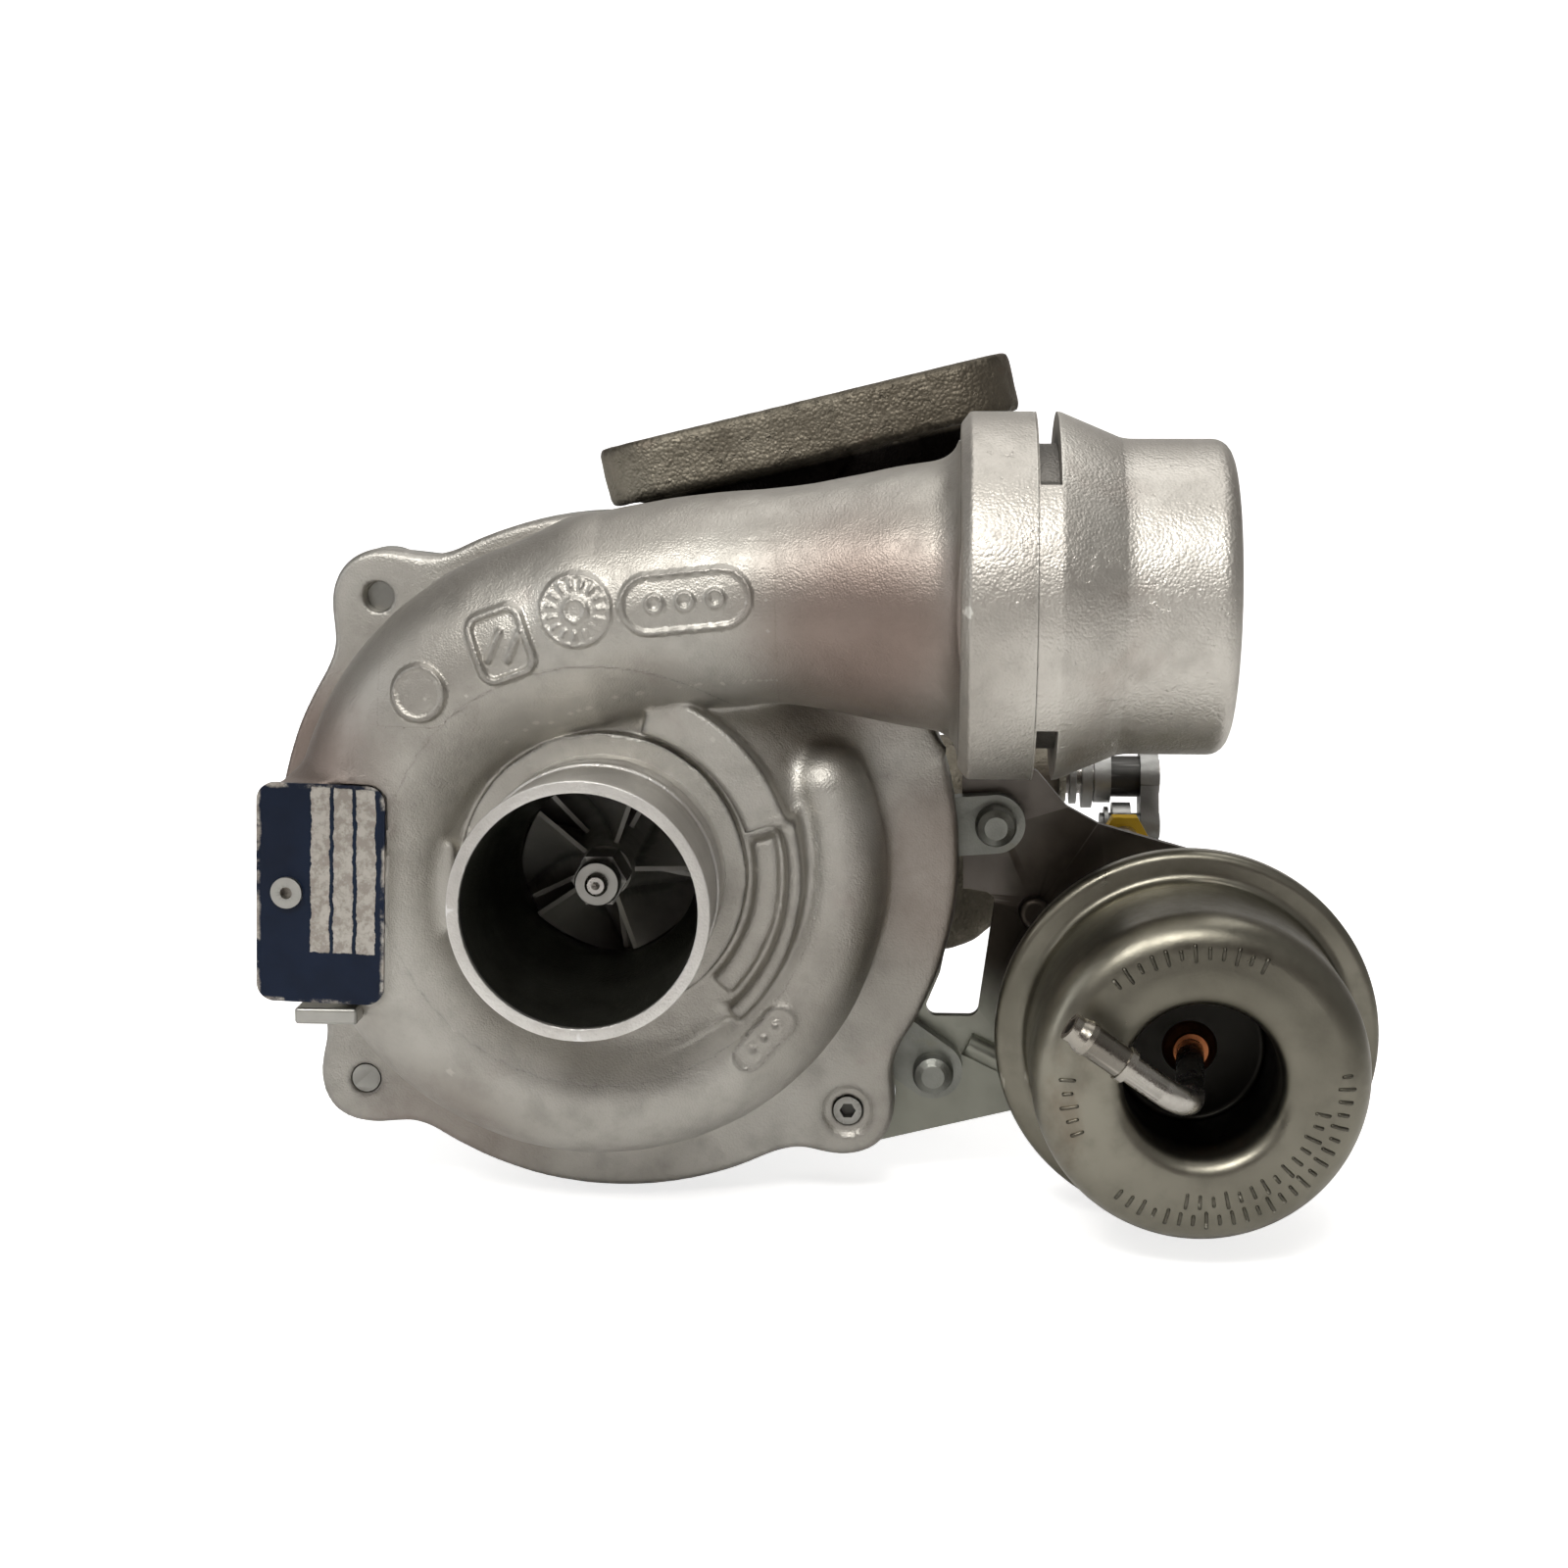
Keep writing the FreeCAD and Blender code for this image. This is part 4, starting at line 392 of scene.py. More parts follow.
def finer_skin(x, y, z, zone):
    """The casting's outer skin inside a zone, for a part that is made at a finer step."""
    body = compressor_field(x, y, z)
    return np.maximum(np.maximum(body, zone), -SKIN_DEPTH - body)


def compressor_front(x, y, z):
    """Skin of the middle of the compressor casting's front."""
    return finer_skin(x, y, z, front_zone(x, y, z))


def compressor_marks(x, y, z):
    """Skin of the marked part of the compressor casting."""
    return finer_skin(x, y, z, marks_zone(x, y, z))


def compressor_rest(x, y, z):
    """The compressor casting, sunk a little where the two finer skins cover it."""
    covered = np.maximum(-front_zone(x, y, z), -marks_zone(x, y, z))
    return compressor_field(x, y, z) + SKIN_SINK * np.clip((covered - 0.6) / 1.6, 0, 1)


# ------------------------------------------------------------------ iron castings

def tilted(x, z):
    """Places seen square to the tilted gas inlet: along its face and up out of it."""
    turn = math.radians(INLET_TILT)
    dx, dz = x - INLET_TOP[0], z - INLET_TOP[2]
    return dx * math.cos(turn) + dz * math.sin(turn), -dx * math.sin(turn) + dz * math.cos(turn)


def inlet_outline(u, v):
    """Rounded triangle of the gas inlet flange."""
    corners = [on_circle(INLET_PCD / 2, a) for a in (90, 210, 330)]
    return polygon(u, v, corners) - 11.5


def duct_field(x, y, z, inset):
    """Gas inlet duct from the flange down to the scroll."""
    low = np.array((35.5, 102.8, 2.0))
    mid = np.array((35.0, 101.5, 40.0))
    turn = math.radians(INLET_TILT)
    top = np.array(INLET_TOP) + np.array((-math.sin(turn), 0, math.cos(turn))) * 3
    best = None
    for a, b, ra, rb in ((low, mid, 16.0, 18.0), (mid, top, 18.0, 19.1)):
        d = b - a
        t = np.clip(((x - a[0]) * d[0] + (y - a[1]) * d[1] + (z - a[2]) * d[2]) / (d @ d), 0, 1)
        run = ball(x, y, z, [a[i] + t * d[i] for i in range(3)], ra) - (rb - ra) * t
        best = run if best is None else smooth_min(best, run, 4)
    return best + inset


def gas_scroll_field(x, y, z, inset):
    """Gas scroll that shrinks round the turbine wheel."""
    wrap = (-turn_of(x, z)) % 360 / GAS_SCROLL_SWEEP
    inner = np.clip(wrap, 0, 1)
    size = GAS_SMALL_R + GAS_GROWTH * (1 - inner)
    pitch_r, closing = 35.5, 3.0
    ring = np.hypot(np.hypot(x, z) - pitch_r + closing * inner, y - GAS_SCROLL_Y) - size
    end_x, end_z = on_circle(pitch_r - closing, -GAS_SCROLL_SWEEP)
    end = ball(x, y, z, (end_x, GAS_SCROLL_Y, end_z), GAS_SMALL_R)
    return np.where(wrap <= 1, ring, np.minimum(end, duct_field(x, y, z, 0))) + inset


def turbine_field(x, y, z):
    """Turbine housing: inlet flange and duct, scroll, outlet chamber, outlet flange and spindle boss."""
    radius = np.hypot(x, z)
    u, out = tilted(x, z)
    drum = np.maximum(slab(y, GAS_FRONT_Y, 112), radius - 43 + 1.1 * np.maximum(y - 93, 0))
    body = smooth_min(drum, gas_scroll_field(x, y, z, 0), 4)
    body = smooth_min(body, duct_field(x, y, z, 0), 5)
    chamber = np.maximum(segment(x, z, (4, -1), (30, -6), 20.5), slab(y, *CHAMBER_Y))
    chamber = np.minimum(chamber, np.maximum(radius - 24.5, slab(y, *CHAMBER_Y)))
    body = smooth_min(body, chamber, 5)
    boss = np.maximum(np.hypot(y - SPINDLE_Y, z - SPINDLE_Z) - 8.0, slab(x, 40, 80))
    body = smooth_min(body, boss, 4)
    lobe = smooth_max(disc(x, z, 55.0, -12.5, 16.0), slab(y, 98, 130), 4)
    body = smooth_min(body, lobe, 5)
    plate = box2(x, z, *OUTLET_PLATE, 40.5, 40.5, 8.0)
    body = smooth_min(body, smooth_max(plate, slab(y, 135, OUTLET_FACE_Y), 1.4), 3)
    flange = smooth_max(inlet_outline(u, y - INLET_TOP[1]), slab(out, -INLET_T, 0.0), 1.4)
    body = smooth_min(body, flange, 3)
    half = 32.0 + 0.347 * np.minimum(out + INLET_T, 0)
    web = np.maximum(np.abs(u) - half, slab(y - INLET_TOP[1], -9.5, -1.5))
    body = smooth_min(body, np.maximum(web, slab(out, -31.0, -8.0)), 4)
    body = body + 0.12 * ripple(x, y, z, 4.4, 5)
    pits = np.maximum(ripple(x, y, z, 2.4, 8) - 0.5, 0) * np.clip((u + 5) / 20, 0.15, 1)
    body = body + 0.45 * pits * (out < -0.8)
    wheel_room_r = np.where(y > CHAMBER_Y[0], 17.0, 30.0)
    room = np.maximum(radius - wheel_room_r, slab(y, SHIELD_Y, OUTLET_BORE_Y[0]))
    neck = np.maximum(radius - 33.3, y - SHIELD_Y)
    cuts = [room, neck, gas_scroll_field(x, y, z, GAS_WALL), duct_field(x, y, z, GAS_WALL)]
    cuts.append(np.maximum(segment(x, z, (0, 0), (30, -6), 15.5), slab(y, *OUTLET_BORE_Y)))
    cuts.append(np.maximum(radius - 20.5, slab(y, *OUTLET_BORE_Y)))
    cuts.append(np.maximum(disc(x, z, *WASTE_PORT, WASTE_PORT_R), slab(y, CHAMBER_Y[0], 120)))
    cuts.append(np.maximum(np.hypot(y - SPINDLE_Y, z - SPINDLE_Z) - 5.2, slab(x, 33, 84)))
    for turn in (90, 210, 330):
        hu, hv = on_circle(INLET_PCD / 2, turn)
        cuts.append(np.maximum(disc(u, y - INLET_TOP[1], hu, hv, 4.5), slab(out, -20, 3)))
    for turn in (45, 135, 225, 315):
        hx, hz = on_circle(46, turn)
        hole = disc(x, z, OUTLET_PLATE[0] + hx, OUTLET_PLATE[1] + hz, 3.4)
        cuts.append(np.maximum(hole, slab(y, 133, 146)))
    for cut in cuts:
        body = smooth_max(body, -cut, 0.6)
    body = np.maximum(body, -np.maximum(radius - 43.0, y - GAS_FRONT_Y))
    return np.maximum(np.maximum(body, out), y - OUTLET_FACE_Y)


def turned_to_oil_inlet(x, z):
    """Across and out along the oil inlet, which leans towards -X."""
    turn = math.radians(OIL_LEAN)
    return x * math.cos(turn) + z * math.sin(turn), z * math.cos(turn) - x * math.sin(turn)


def centre_field(x, y, z):
    """Bearing housing: front flange, body, oil bosses and rear flange."""
    radius = np.hypot(x, z)
    waist = 26.0 + 3.2 * np.clip((70 - y) / 6, 0, 2) ** 1.5
    body = np.maximum(radius - waist, slab(y, 62, 88))
    body = smooth_min(body, np.maximum(radius - 40.0, slab(y, CENTRE_Y[0], 64)), 3)
    body = smooth_min(body, np.maximum(radius - 33.0, slab(y, 85, 88)), 1.5)
    across, up = turned_to_oil_inlet(x, z)
    inlet = np.maximum(np.hypot(across, y - OIL_Y) - 9.0, slab(up, 0, OIL_TOP))
    drain = np.maximum(np.hypot(x, y - OIL_Y) - 9.7, slab(z, DRAIN_Z, 0))
    body = smooth_min(smooth_min(body, inlet, 3), drain, 3)
    plate = smooth_max(box2(x, y, 0, OIL_Y, 25, 8.3, 6.0), slab(z, DRAIN_Z, DRAIN_Z + 6), 0.8)
    body = smooth_min(body, plate, 2)
    body = body + 0.10 * ripple(x, y, z, 3.6, 12) + 0.05 * ripple(x, y, z, 1.6, 13)
    nose = np.maximum(radius - 24.6 + 1.1 * np.maximum(y - 88, 0), slab(y, 80, 90))
    body = np.minimum(body, nose)
    cuts = [np.maximum(radius - 16.6, y - 64.0), radius - 5.9]
    cuts.append(np.maximum(np.hypot(x, y - OIL_Y) - 6.5, z + 9))
    cuts.append(np.maximum(np.hypot(across, y - OIL_Y) - 4.3, 24 - up))
    cuts.append(np.maximum(OIL_TOP - up, 65 - y))
    for side in (-1, 1):
        cuts.append(np.maximum(np.hypot(x - side * 18, y - OIL_Y) - 2.5, z + 33))
    for cut in cuts:
        body = np.maximum(body, -cut)
    body = np.maximum(body, DRAIN_Z - z)
    return np.maximum(body, slab(y, *CENTRE_Y))


# ------------------------------------------------------------------ turned pieces

def lathe(name, profile, centre, axis, steps=256, radius_of=None):
    """Ring-shaped piece from a closed (along, radius) profile, in millimetres.

    radius_of(along, radius, angles) may change the radius round the turn."""
    angles = np.arange(steps) * 2 * math.pi / steps
    rows = []
    for along, radius in profile:
        r = np.full(steps, float(radius))
        if radius_of is not None:
            r = radius_of(along, r, angles)
        if axis == "Y":
            rows.append(np.c_[centre[0] + r * np.cos(angles), np.full(steps, centre[1] + along),
                              centre[2] + r * np.sin(angles)])
        else:
            rows.append(np.c_[np.full(steps, centre[0] + along), centre[1] + r * np.cos(angles),
                              centre[2] + r * np.sin(angles)])
    points = np.concatenate(rows) * MM
    faces = []
    for i in range(len(profile)):
        j = (i + 1) % len(profile)
        for k in range(steps):
            m = (k + 1) % steps
            faces.append((i * steps + k, i * steps + m, j * steps + m, j * steps + k))
    mesh = bpy.data.meshes.new(name)
    mesh.from_pydata(points.tolist(), [], faces)
    mesh.validate()
    mesh.shade_smooth()
    mesh.set_sharp_from_angle(angle=math.radians(32))
    made = bpy.data.objects.new(name, mesh)
    bpy.context.scene.collection.objects.link(made)
    turn_outwards(mesh)
    return made


def turn_outwards(mesh):
    """Flips a closed mesh whose faces point inwards."""
    volume = 0.0
    for face in mesh.polygons:
        volume += face.center.dot(face.normal) * face.area
    if volume < 0:
        mesh.flip_normals()


def rounded_profile(corners, radius, steps=4):
    """Profile whose corners are rounded by short arcs."""
    made = []
    count = len(corners)
    for i in range(count):
        p = np.array(corners[i], float)
        a = np.array(corners[i - 1], float) - p
        b = np.array(corners[(i + 1) % count], float) - p
        la, lb = np.linalg.norm(a), np.linalg.norm(b)
        reach = min(radius, la * 0.45, lb * 0.45)
        start, end = p + a / la * reach, p + b / lb * reach
        for k in range(steps + 1):
            t = k / steps
            made.append(tuple((1 - t) ** 2 * start + 2 * t * (1 - t) * p + t * t * end))
    return made


def arc(along, radius, size, start, end, hollow=False):
    """Points of an arc in a turned profile.

    0 degrees is along the axis and 90 outwards; hollow arcs face inwards."""
    side = -1 if hollow else 1
    steps = 8
    points = []
    for i in range(steps + 1):
        t = math.radians(start + (end - start) * i / steps)
        points.append((along + size * math.cos(t), radius + side * size * math.sin(t)))
    return points


def inlet_tube():
    """Machined inlet tube with its rim, bright ring, groove and the shroud over the wheel."""
    outer = [(0, BORE_R + 0.15), (0, RIM_R), (2.6, RIM_R), (3.4, NECK_R), (18.6, NECK_R), (19.0, 20.6)]
    outer += [(20.4, 20.6), (21.0, 19.8), (24.0, 19.8), (25.0, 20.5), (34.0, 20.5), (50.2, 24.0)]
    shroud = []
    for i in range(9):
        t = math.radians(90 * (1 - i / 8))
        shroud.append((38 + 12.2 * math.sin(t), THROAT_R + 5.5 * (1 - math.cos(t))))
    inner = shroud + [(35.5, THROAT_R), (28.5, 18.2), (20.0, 18.2), (18.6, BORE_R)]
    profile = rounded_profile(outer, 0.35, 3) + [(50.2, 21.0)] + inner
    return lathe("inlet_tube", profile, (0, 0, 0), "Y", 240)


def outlet_spigot():
    """Machined hose spigot: collar with clip slots, snap edge, cone and pipe."""
    back = [(COLLAR_BACK, SPIGOT_BORE_R), (COLLAR_BACK, 28.2), (60.4, COLLAR_R), (70.9, COLLAR_R)]
    profile = rounded_profile(back, 0.5, 3)
    slot_start, slot_end = SLOT_X
    profile += [(along, COLLAR_R) for along in (slot_start - 0.01, slot_start, slot_end - 0.03, slot_end)]
    profile.append((75.1, 30.1))
    pipe = [(84.0, 26.2), (86.0, SPIGOT_R), (99.6, SPIGOT_R)]
    profile += rounded_profile(pipe, 1.2, 4)[2:-2]
    for i in range(7):
        t = math.radians(90 * i / 6)
        profile.append((99.6 + 3.0 * math.sin(t), SPIGOT_R - 3.0 + 3.0 * math.cos(t)))
    inner_r = 19.8
    profile += [(102.3, SPIGOT_BORE_R), (62.0, SPIGOT_BORE_R), (62.0, inner_r), (COLLAR_BACK, inner_r)]

    def slotted(along, radius, angles):
        if slot_start - 0.005 < along < slot_end - 0.02:
            cut = 19.2 / np.maximum(np.abs(np.sin(angles)), 1e-3)
            radius = np.maximum(np.minimum(radius, cut), 25.0)
        return radius

    return lathe("outlet_spigot", profile, (0, OUTLET_Y, OUTLET_Z), "X", 320, slotted)


def can_shell():
    """Pressed front can: rolled crimp, side, big shoulder, gently domed face, rounded lip and deep well."""
    cx, cz = middle_of("actuator_front_can")
    outer = [(33.0, 0.4), (33.0, 11.6)]
    outer += arc(32.0, 11.6, 1.0, 0, 90)
    outer += arc(13.1, 15.6, 3.0, 90, 180, True)
    outer += [(10.0, 17.0), (10.1, 19.0), (10.4, 21.0)]
    outer += arc(16.1, 21.5, 5.7, 175, 90)
    outer += [(34.6, 27.2), (36.2, 27.3)]
    outer += arc(36.4, 29.0, 1.6, 270, 360)
    outer += arc(39.7, 30.9, 1.6, 180, 90)
    outer += [(41.2, 32.5)]
    outer += arc(41.2, 31.1, 1.4, 90, 0)
    outer += [(42.6, 29.3), (41.6, 29.3), (41.6, 31.0), (39.3, 31.0), (39.3, 26.2), (20.0, 26.0)]
    outer += [(14.0, 23.4), (11.6, 20.4), (11.4, 17.0), (12.4, 15.0), (15.0, 13.8), (34.2, 13.8), (34.2, 0.4)]
    return lathe("front_can_shell", outer, (cx, 0, cz), "Y", 224)


def can_ticks_field(x, y, z):
    """Rows of small raised ticks on the front can's face, in arcs round the well."""
    cx, cz = middle_of("actuator_front_can")
    dx, dz = x - cx, z - cz
    radius, angle = np.hypot(dx, dz), turn_of(dx, dz)
    rows = ((22.6, -128, 8, 5.4), (19.4, -100, -8, 6.4), (21.4, 62, 132, 6.0), (21.6, 176, 206, 6.0))
    best = 99.0
    for ring, start, end, pitch in rows:
        off = (angle - start) % 360
        index = np.floor(off / pitch)
        across = np.abs(off - (index + 0.5) * pitch) * math.pi / 180 * ring
        tall = 0.95 + 0.35 * np.sin(index * 2.4 + ring)
        tick = np.hypot(across, np.maximum(np.abs(radius - ring) - tall, 0)) - 0.34
        best = np.minimum(best, np.where(off < end - start, tick, 9.0))
    shoulder = 16.1 - np.sqrt(np.maximum(5.7 ** 2 - (radius - 21.5) ** 2, 0))
    face = np.where(radius > 21.3, shoulder, 10.0 + 0.1 * np.clip(radius - 17, 0, 4))
    return smooth_max(best, slab(y - face, -0.42, 1.0), 0.5)


# ------------------------------------------------------------------ materials

def add(tree, kind, settings=None, **inputs):
    """New shader node. Inputs are named by socket, with _ for a space, and take a value or a socket."""
    node = tree.nodes.new(kind)
    for key, value in (settings or {}).items():
        setattr(node, key, value)
    for key, value in inputs.items():
        socket = node.inputs[key.replace("_", " ")]
        if isinstance(value, bpy.types.NodeSocket):
            tree.links.new(value, socket)
        else:
            socket.default_value = value
    return node


def ramp(tree, factor, low, high):
    """0 below low and 1 above high."""
    node = add(tree, "ShaderNodeMapRange", {"interpolation_type": "SMOOTHSTEP"}, Value=factor)
    node.inputs["From Min"].default_value = low
    node.inputs["From Max"].default_value = high
    return node.outputs["Result"]


def blend(tree, factor, a, b):
    """Colour mixed from a to b."""
    node = add(tree, "ShaderNodeMix", {"data_type": "RGBA"})
    tree.links.new(factor, node.inputs[0])
    for socket, value in ((node.inputs[6], a), (node.inputs[7], b)):
        if isinstance(value, bpy.types.NodeSocket):
            tree.links.new(value, socket)
        else:
            socket.default_value = (*value, 1.0)
    return node.outputs[2]


def maths(tree, a, b, operation):
    """Result of a Math node on two values or sockets."""
    node = add(tree, "ShaderNodeMath", {"operation": operation})
    for i, value in enumerate((a, b)):
        if isinstance(value, bpy.types.NodeSocket):
            tree.links.new(value, node.inputs[i])
        else:
            node.inputs[i].default_value = value
    return node.outputs[0]


def sum_of(tree, a, b):
    """a + b."""
    return maths(tree, a, b, "ADD")


def product(tree, a, b):
    """a times b."""
    return maths(tree, a, b, "MULTIPLY")


def larger(tree, a, b):
    """The larger of a and b."""
    return maths(tree, a, b, "MAXIMUM")


def noise(tree, place, size_mm, detail=2.0, roughness=0.5, warp=0.0):
    """Noise whose lumps are about size_mm wide."""
    node = add(tree, "ShaderNodeTexNoise", None, Vector=place, Scale=0.6 / (size_mm * MM),
               Detail=detail, Roughness=roughness, Distortion=warp)
    return node.outputs["Fac"]


def metal(name, colour, dark, rough, grain_mm=0.0, grain_depth=0.0, stain=None, metallic=1.0,
          edge=0.0, scratch=0.0, pit=0.0, cavity=0.6):
    """Worn metal: uneven colour and gloss, grain in relief, stains, pits, bright worn edges, and hollows
    darkened as painted shade with some grime.
    """
    material = bpy.data.materials.new(name)
    material.use_nodes = True
    tree = material.node_tree
    shader = tree.nodes["Principled BSDF"]
    shader.inputs["Metallic"].default_value = metallic
    place = add(tree, "ShaderNodeTexCoord").outputs["Object"]
    broad = noise(tree, place, 26.0, 3.0)
    middle = noise(tree, place, 4.0, 4.0, 0.6)
    fine = noise(tree, place, 0.9, 2.0)
    paint = blend(tree, ramp(tree, broad, 0.35, 0.68), dark, colour)
    speck = ramp(tree, middle, 0.42, 0.75)
    paint = blend(tree, product(tree, speck, 0.35), paint, tuple(c * 0.72 for c in dark))
    if stain is not None:
        tint, amount = stain
        blotch = ramp(tree, noise(tree, place, 14.0, 5.0, 0.65, 0.6), 0.56, 0.74)
        paint = blend(tree, product(tree, blotch, amount), paint, tint)
    point = add(tree, "ShaderNodeNewGeometry").outputs["Pointiness"]
    # Hollows found by pointiness are darkened: painted shade, together with some grime.
    if cavity:
        hollow = product(tree, ramp(tree, point, 0.5, 0.44), cavity)
        paint = blend(tree, hollow, paint, tuple(c * 0.35 for c in dark))
    if edge:
        worn = product(tree, ramp(tree, point, 0.52, 0.6), edge)
        paint = blend(tree, worn, paint, tuple(min(1.0, c * 1.5 + 0.08) for c in colour))
    tree.links.new(paint, shader.inputs["Base Color"])
    gloss = sum_of(tree, product(tree, middle, 0.30), rough - 0.21)
    gloss = sum_of(tree, gloss, product(tree, fine, 0.12))
    tree.links.new(gloss, shader.inputs["Roughness"])
    height = product(tree, fine, 0.25)
    if grain_mm:
        cells = add(tree, "ShaderNodeTexVoronoi", {"feature": "F1"}, Vector=place, Scale=1 / (grain_mm * MM))
        rough_grain = noise(tree, place, grain_mm * 1.7, 3.0, 0.65)
        height = sum_of(tree, height, product(tree, cells.outputs["Distance"], -0.7))
        height = sum_of(tree, height, rough_grain)
    if pit:
        holes = ramp(tree, noise(tree, place, 1.4, 3.0, 0.7), 0.62, 0.72)
        height = sum_of(tree, height, product(tree, holes, -pit))
    if scratch:
        stretch = add(tree, "ShaderNodeMapping", None, Vector=place)
        stretch.inputs["Scale"].default_value = (1.0, 9.0, 1.0)
        lines = noise(tree, stretch.outputs["Vector"], 1.4, 4.0, 0.7)
        height = sum_of(tree, height, product(tree, lines, scratch))
    bump = add(tree, "ShaderNodeBump", None, Height=height, Strength=0.9,
               Distance=max(grain_depth, 0.004) * MM)
    tree.links.new(bump.outputs["Normal"], shader.inputs["Normal"])
    return material


def plate_paint():
    """Dark blue enamel with three bare stripes and worn silver edges."""
    material = metal("plate_enamel", (0.003, 0.009, 0.026), (0.002, 0.005, 0.014), 0.36, metallic=0.0,
                     grain_mm=0.5, grain_depth=0.01, cavity=0.0)
    tree = material.node_tree
    shader = tree.nodes["Principled BSDF"]
    shader.inputs["Specular IOR Level"].default_value = 0.2
    enamel = shader.inputs["Base Color"].links[0].from_socket
    place = add(tree, "ShaderNodeTexCoord").outputs["Object"]
    low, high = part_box("nameplate")
    middle = (low + high) / 2
    turn = add(tree, "ShaderNodeMapping", {"vector_type": "TEXTURE"}, Vector=place)
    turn.inputs["Location"].default_value = middle
    turn.inputs["Rotation"].default_value = (0, math.radians(PLATE_TURN), 0)
    split = add(tree, "ShaderNodeSeparateXYZ", None, Vector=turn.outputs["Vector"])
    across, up = split.outputs["X"], split.outputs["Z"]
    wobble = product(tree, noise(tree, place, 1.6, 4.0, 0.7), 0.0012)
    across_w = sum_of(tree, across, sum_of(tree, wobble, -0.0006))
    up_w = sum_of(tree, up, sum_of(tree, wobble, -0.0006))
    inside = product(tree, ramp(tree, across_w, -1.65 * MM, -1.55 * MM),
                     ramp(tree, across_w, 9.85 * MM, 9.75 * MM))
    stripe = sum_of(tree, across_w, 1.6 * MM)
    stripe = maths(tree, stripe, 3.82 * MM, "MODULO")
    bar = ramp(tree, stripe, 3.2 * MM, 3.1 * MM)
    length = product(tree, ramp(tree, up_w, -9.9 * MM, -9.7 * MM), ramp(tree, up_w, 18.0 * MM, 17.8 * MM))
    bare = product(tree, product(tree, inside, bar), length)
    rim_u = ramp(tree, maths(tree, across_w, 0.0, "ABSOLUTE"), 9.9 * MM, 10.5 * MM)
    rim_v = ramp(tree, maths(tree, up_w, 0.0, "ABSOLUTE"), 17.6 * MM, 18.2 * MM)
    worn = ramp(tree, noise(tree, place, 5.0, 5.0, 0.7), 0.44, 0.56)
    chips = product(tree, larger(tree, rim_u, rim_v), worn)
    bare = larger(tree, bare, chips)
    tarnish = ramp(tree, noise(tree, place, 1.0, 4.0, 0.7), 0.4, 0.62)
    silver = blend(tree, tarnish, (0.33, 0.30, 0.265), (0.50, 0.475, 0.43))
    tree.links.new(blend(tree, bare, enamel, silver), shader.inputs["Base Color"])
    tree.links.new(bare, shader.inputs["Metallic"])
    return material


def paint(piece, material):
    """Gives a piece, or a CAD node by its name, one material."""
    if isinstance(piece, str):
        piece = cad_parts[piece]
    piece.data.materials.clear()
    piece.data.materials.append(material)


def near(tree, first, second, middle, far, close):
    """1 within close of a point in a plane and 0 beyond far, all in millimetres."""
    total = None
    for socket, value in ((first, middle[0]), (second, middle[1])):
        off = sum_of(tree, socket, -value * MM)
        square = product(tree, off, off)
        total = square if total is None else sum_of(tree, total, square)
    return ramp(tree, maths(tree, total, 0.5, "POWER"), far * MM, close * MM)


def overlay_painted_light(material, colour, amount):
    """Second colour over a metal where amount(tree, x, y, z) is 1, from the piece's own coordinates; here it
    paints light, shade, shadow and reflection into the colour.
    """
    tree = material.node_tree
    shader = tree.nodes["Principled BSDF"]
    place = add(tree, "ShaderNodeTexCoord").outputs["Object"]
    split = add(tree, "ShaderNodeSeparateXYZ", None, Vector=place)
    factor = amount(tree, *(split.outputs[axis] for axis in "XYZ"))
    under = shader.inputs["Base Color"].links[0].from_socket
    tree.links.new(blend(tree, factor, under, colour), shader.inputs["Base Color"])
    return material


def painted_bore_shade(tree, x, y, z):
    """Painted shade inside the inlet tube, behind its bright rim."""
    return product(tree, near(tree, x, z, (0, 0), 19.3, 18.9), ramp(tree, y, 0.4 * MM, 1.6 * MM))


def painted_well_shade(tree, x, y, z):
    """Painted shade inside the deep well of the front can."""
    middle = middle_of("actuator_front_can")
    return product(tree, near(tree, x, z, middle, 15.0, 12.8), ramp(tree, y, 13.5 * MM, 20.0 * MM))


def painted_shadow_under_flange(tree, x, y, z):
    """Painted shadow on the duct and webs below the gas inlet flange."""
    turn = math.radians(INLET_TILT)
    across = product(tree, sum_of(tree, x, -INLET_TOP[0] * MM), -math.sin(turn))
    out = sum_of(tree, across, product(tree, sum_of(tree, z, -INLET_TOP[2] * MM), math.cos(turn)))
    below = ramp(tree, out, -INLET_T * MM, -(INLET_T + 1.2) * MM)
    below = product(tree, below, ramp(tree, z, 20 * MM, 36 * MM))
    return product(tree, below, ramp(tree, y, 118 * MM, 102 * MM))


def painted_warm_reflections(tree, x, y, z):
    """Painted brownish reflections in patches on the outlet tube and the scroll's left side."""
    tube = product(tree, near(tree, x, z, (44, 42), 26.0, 6.0), 0.72)
    side = product(tree, near(tree, x, z, (-54, 14), 26.0, 8.0), 0.62)
    low_side = product(tree, near(tree, x, z, (-30, -50), 22.0, 6.0), 0.3)
    flange = product(tree, near(tree, x, z, (58, -2), 24.0, 8.0), 0.35)
    return larger(tree, larger(tree, tube, side), larger(tree, low_side, flange))


def painted_lit_arm(tree, x, y, z):
    """Painted light on the bracket's lower arm, which is paler than the upper part left in the canister's
    shade.
    """
    height = sum_of(tree, z, product(tree, x, 0.35))
    return product(tree, ramp(tree, height, 4 * MM, -12 * MM), 0.9)


def put(piece, material, slot, *nodes):
    """Finishes a piece that rides the housing in place of some CAD nodes."""
    paint(piece, material)
    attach(piece, "housing")
    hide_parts(*nodes)


